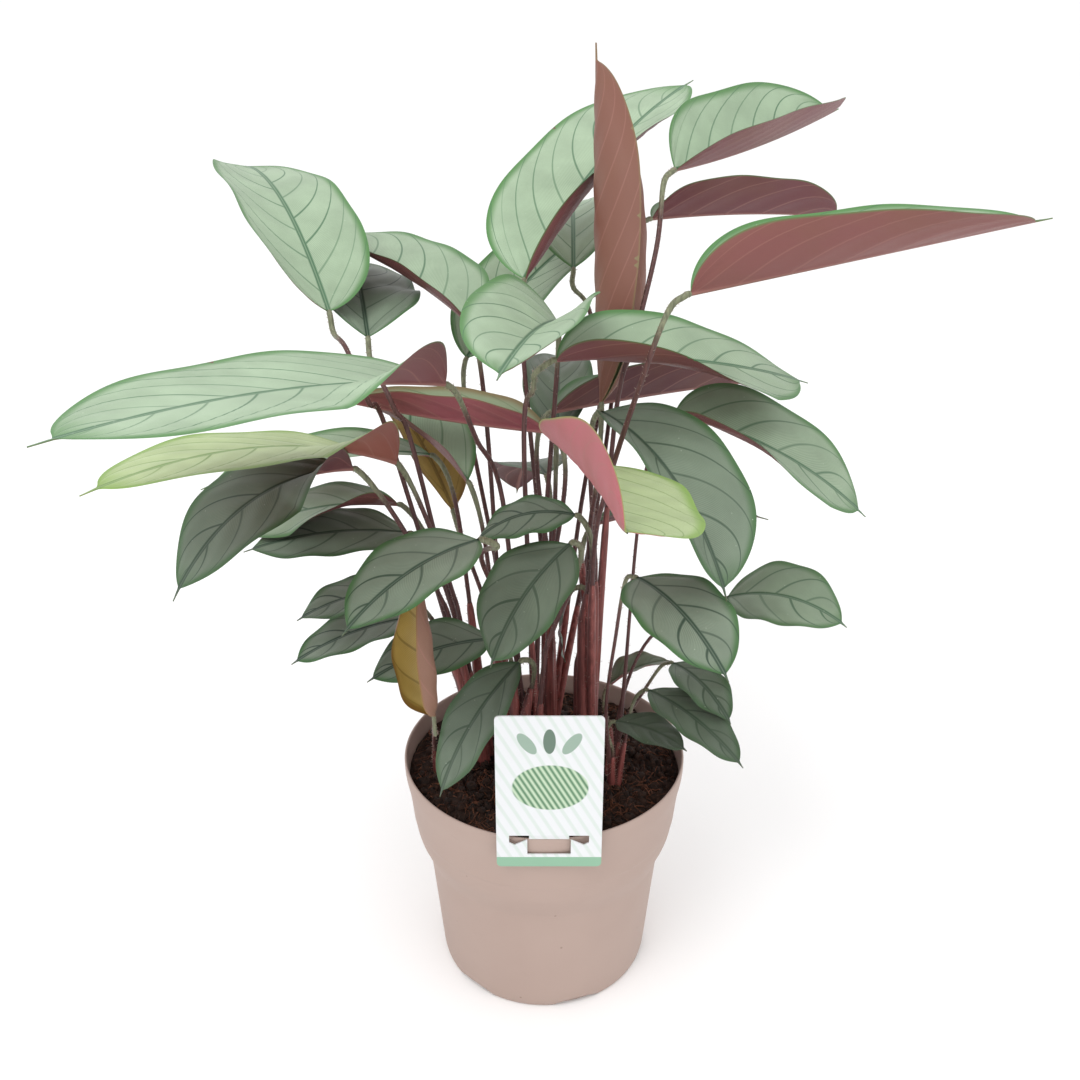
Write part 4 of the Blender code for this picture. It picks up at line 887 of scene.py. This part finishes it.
def peat(name, light, dark, scale):
    # Damp peat or coir: very dark and rough, with small lighter crumbs.
    made, tree, shader = newMaterial(name, Roughness=0.88)
    place = addNode(tree, "ShaderNodeTexCoord").outputs["Object"]
    cloud = addNode(tree, "ShaderNodeTexNoise", {"Vector": place}, {"Scale": scale, "Detail": 6.0,
                                                                    "Roughness": 0.75})
    share = addNode(tree, "ShaderNodeMapRange", {"Value": cloud.outputs["Fac"]},
                    {"From Min": 0.38, "From Max": 0.68})
    mixed = addNode(tree, "ShaderNodeMixRGB", {"Fac": share.outputs[0]},
                    {"Color1": hexColour(dark), "Color2": hexColour(light)})
    tree.links.new(mixed.outputs[0], shader.inputs["Base Color"])
    bump = addNode(tree, "ShaderNodeBump", {"Height": cloud.outputs["Fac"]},
                   {"Strength": 0.7, "Distance": 0.001})
    tree.links.new(bump.outputs[0], shader.inputs["Normal"])
    return made


makeSoil([peat("dampPeat", "#45291A", "#140B07", 260.0), peat("coirFibre", "#86543A", "#3D2114", 120.0)],
         np.random.default_rng(5))
print("potting mix made")


# The tag keeps its CAD card. Its print is a plain one: pale leaf lines, a green foot band, three
# small leaf shapes and a striped panel.
tagForm = {"left": -26.5, "foot": 130.0, "band": 6.6, "panel": (3.0, 184.0, 21.0, 15.0)}


def tagCard():
    # Offset print on a stiff white polypropylene card: smooth, with a slight gloss.
    made, tree, shader = newMaterial("printedCard", Roughness=0.32, IOR=1.49)
    place = addNode(tree, "ShaderNodeTexCoord").outputs["Object"]
    size = addNode(tree, "ShaderNodeMapping", {"Vector": place}, {"Scale": (1000.0, 1000.0, 1000.0)})
    flat = addNode(tree, "ShaderNodeMapping", {"Vector": size.outputs[0]},
                   {"Scale": (1.0, 0.0, 1.0), "Rotation": (0.0, 0.5, 0.0)})
    lines = addNode(tree, "ShaderNodeTexWave", {"Vector": flat.outputs[0]},
                    {"Scale": 0.055, "Distortion": 7.0, "Detail": 0.5, "Detail Scale": 0.012})
    pale = addNode(tree, "ShaderNodeMapRange", {"Value": lines.outputs["Fac"]},
                   {"From Min": 0.55, "From Max": 0.9, "To Min": 0.0, "To Max": 0.55})
    paper = addNode(tree, "ShaderNodeMixRGB", {"Fac": pale.outputs[0]},
                    {"Color1": hexColour("#D9DBDD"), "Color2": hexColour("#BFCEC3")})
    axes = addNode(tree, "ShaderNodeSeparateXYZ", {0: size.outputs[0]})
    colour = paper.outputs[0]

    def printed(share, code, colour):
        return addNode(tree, "ShaderNodeMixRGB", {"Fac": share, "Color1": colour},
                       {"Color2": hexColour(code)}).outputs[0]

    def ellipse(x, z, wide, high, turn):
        # 1 inside an ellipse: the length of the turned and scaled offset is under 1.
        moved = addNode(tree, "ShaderNodeVectorMath", {0: size.outputs[0]}, {1: (x, 0.0, z)},
                        operation="SUBTRACT")
        turned = addNode(tree, "ShaderNodeVectorRotate", {"Vector": moved.outputs[0]},
                         {"Angle": np.radians(turn)}, rotation_type="Y_AXIS")
        scaled = addNode(tree, "ShaderNodeVectorMath", {0: turned.outputs[0]},
                         {1: (1 / wide, 0.0, 1 / high)}, operation="MULTIPLY")
        away = addNode(tree, "ShaderNodeVectorMath", {0: scaled.outputs[0]}, operation="LENGTH")
        return addNode(tree, "ShaderNodeMapRange", {"Value": away.outputs["Value"]},
                       {"From Min": 0.96, "From Max": 1.0, "To Min": 1.0, "To Max": 0.0}).outputs[0]

    x, z, wide, high = tagForm["panel"]
    stripes = addNode(tree, "ShaderNodeTexWave", {"Vector": flat.outputs[0]},
                      {"Scale": 0.11, "Distortion": 3.0, "Detail": 1.0, "Detail Scale": 0.03})
    inPanel = ellipse(x, z, wide, high, 0)
    picture = addNode(tree, "ShaderNodeMixRGB", {"Fac": stripes.outputs["Fac"]},
                      {"Color1": hexColour("#4F7A58"), "Color2": hexColour("#BCD0B4")})
    colour = addNode(tree, "ShaderNodeMixRGB", {"Fac": inPanel, "Color1": colour,
                                                "Color2": picture.outputs[0]}).outputs[0]
    for offset, turn, code in ((-12, 35, "#8FA596"), (0, 0, "#5F7566"), (12, -35, "#8FA596")):
        colour = printed(ellipse(tagForm["left"] + 29 + offset, 214.0 - abs(offset) * 0.12, 3.4, 8.0, turn),
                         code, colour)
    band = addNode(tree, "ShaderNodeMath", {0: axes.outputs["Z"]},
                   {1: tagForm["foot"] + tagForm["band"]}, operation="LESS_THAN")
    colour = printed(band.outputs[0], "#86AE93", colour)
    tree.links.new(colour, shader.inputs["Base Color"])
    fleck = addNode(tree, "ShaderNodeTexNoise", {"Vector": place}, {"Scale": 70.0, "Detail": 4.0})
    bump = addNode(tree, "ShaderNodeBump", {"Height": fleck.outputs["Fac"]},
                   {"Strength": 0.06, "Distance": 0.0005})
    tree.links.new(bump.outputs[0], shader.inputs["Normal"])
    return made


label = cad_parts["label"]
label.data.materials.clear()
label.data.materials.append(tagCard())
print("tag finished")


# Studio: a pale floor, one broad soft light above and in front, and an even white room.
studio = {
    "camera": (-2.5, -620.0, 594.0), "pitch": 26.12, "lens": 40.94, "sensor": 36.0,
    "floor": 60.0,                    # half its width, in metres
    "key": {"place": (-0.5, -0.9, 1.9), "size": 1.2, "power": 15.0},
    "fill": {"place": (1.2, -1.2, 0.8), "size": 1.6, "power": 3.0},
    "room": 1.07,
}


def makeStudio():
    reach = studio["floor"]
    data = bpy.data.meshes.new("studioFloor")
    data.from_pydata([(-reach, -reach, 0), (reach, -reach, 0), (reach, reach, 0), (-reach, reach, 0)],
                     [], [(0, 1, 2, 3)])
    floor = bpy.data.objects.new("studioFloor", data)
    bpy.context.scene.collection.objects.link(floor)
    paint, _, _ = newMaterial("paleFloorPaint", Roughness=0.9, Base_Color=hexColour("#FBFBFB"))
    data.materials.append(paint)
    for name in ("key", "fill"):
        spec = studio[name]
        lamp = bpy.data.lights.new(name, "AREA")
        lamp.shape, lamp.size, lamp.energy = "DISK", spec["size"], spec["power"]
        holder = bpy.data.objects.new(name, lamp)
        bpy.context.scene.collection.objects.link(holder)
        holder.location = spec["place"]
        aim = Matrix.Translation((0, 0, 0.3)).translation - holder.location
        holder.rotation_euler = aim.to_track_quat("-Z", "Y").to_euler()
    world = bpy.data.worlds.new("whiteRoom")
    world.use_nodes = True
    back = world.node_tree.nodes["Background"]
    back.inputs["Color"].default_value = (1.0, 1.0, 1.0, 1.0)
    back.inputs["Strength"].default_value = studio["room"]
    bpy.context.scene.world = world
    camera = bpy.data.cameras.new("camera")
    camera.lens, camera.sensor_width = studio["lens"], studio["sensor"]
    camera.clip_start, camera.clip_end = 0.01, 200.0
    eye = bpy.data.objects.new("camera", camera)
    bpy.context.scene.collection.objects.link(eye)
    eye.location = np.array(studio["camera"]) * mm
    eye.rotation_euler = (np.radians(90 - studio["pitch"]), 0.0, 0.0)
    bpy.context.scene.camera = eye
    bpy.context.scene.view_settings.view_transform = "Standard"


makeStudio()
print("studio made")
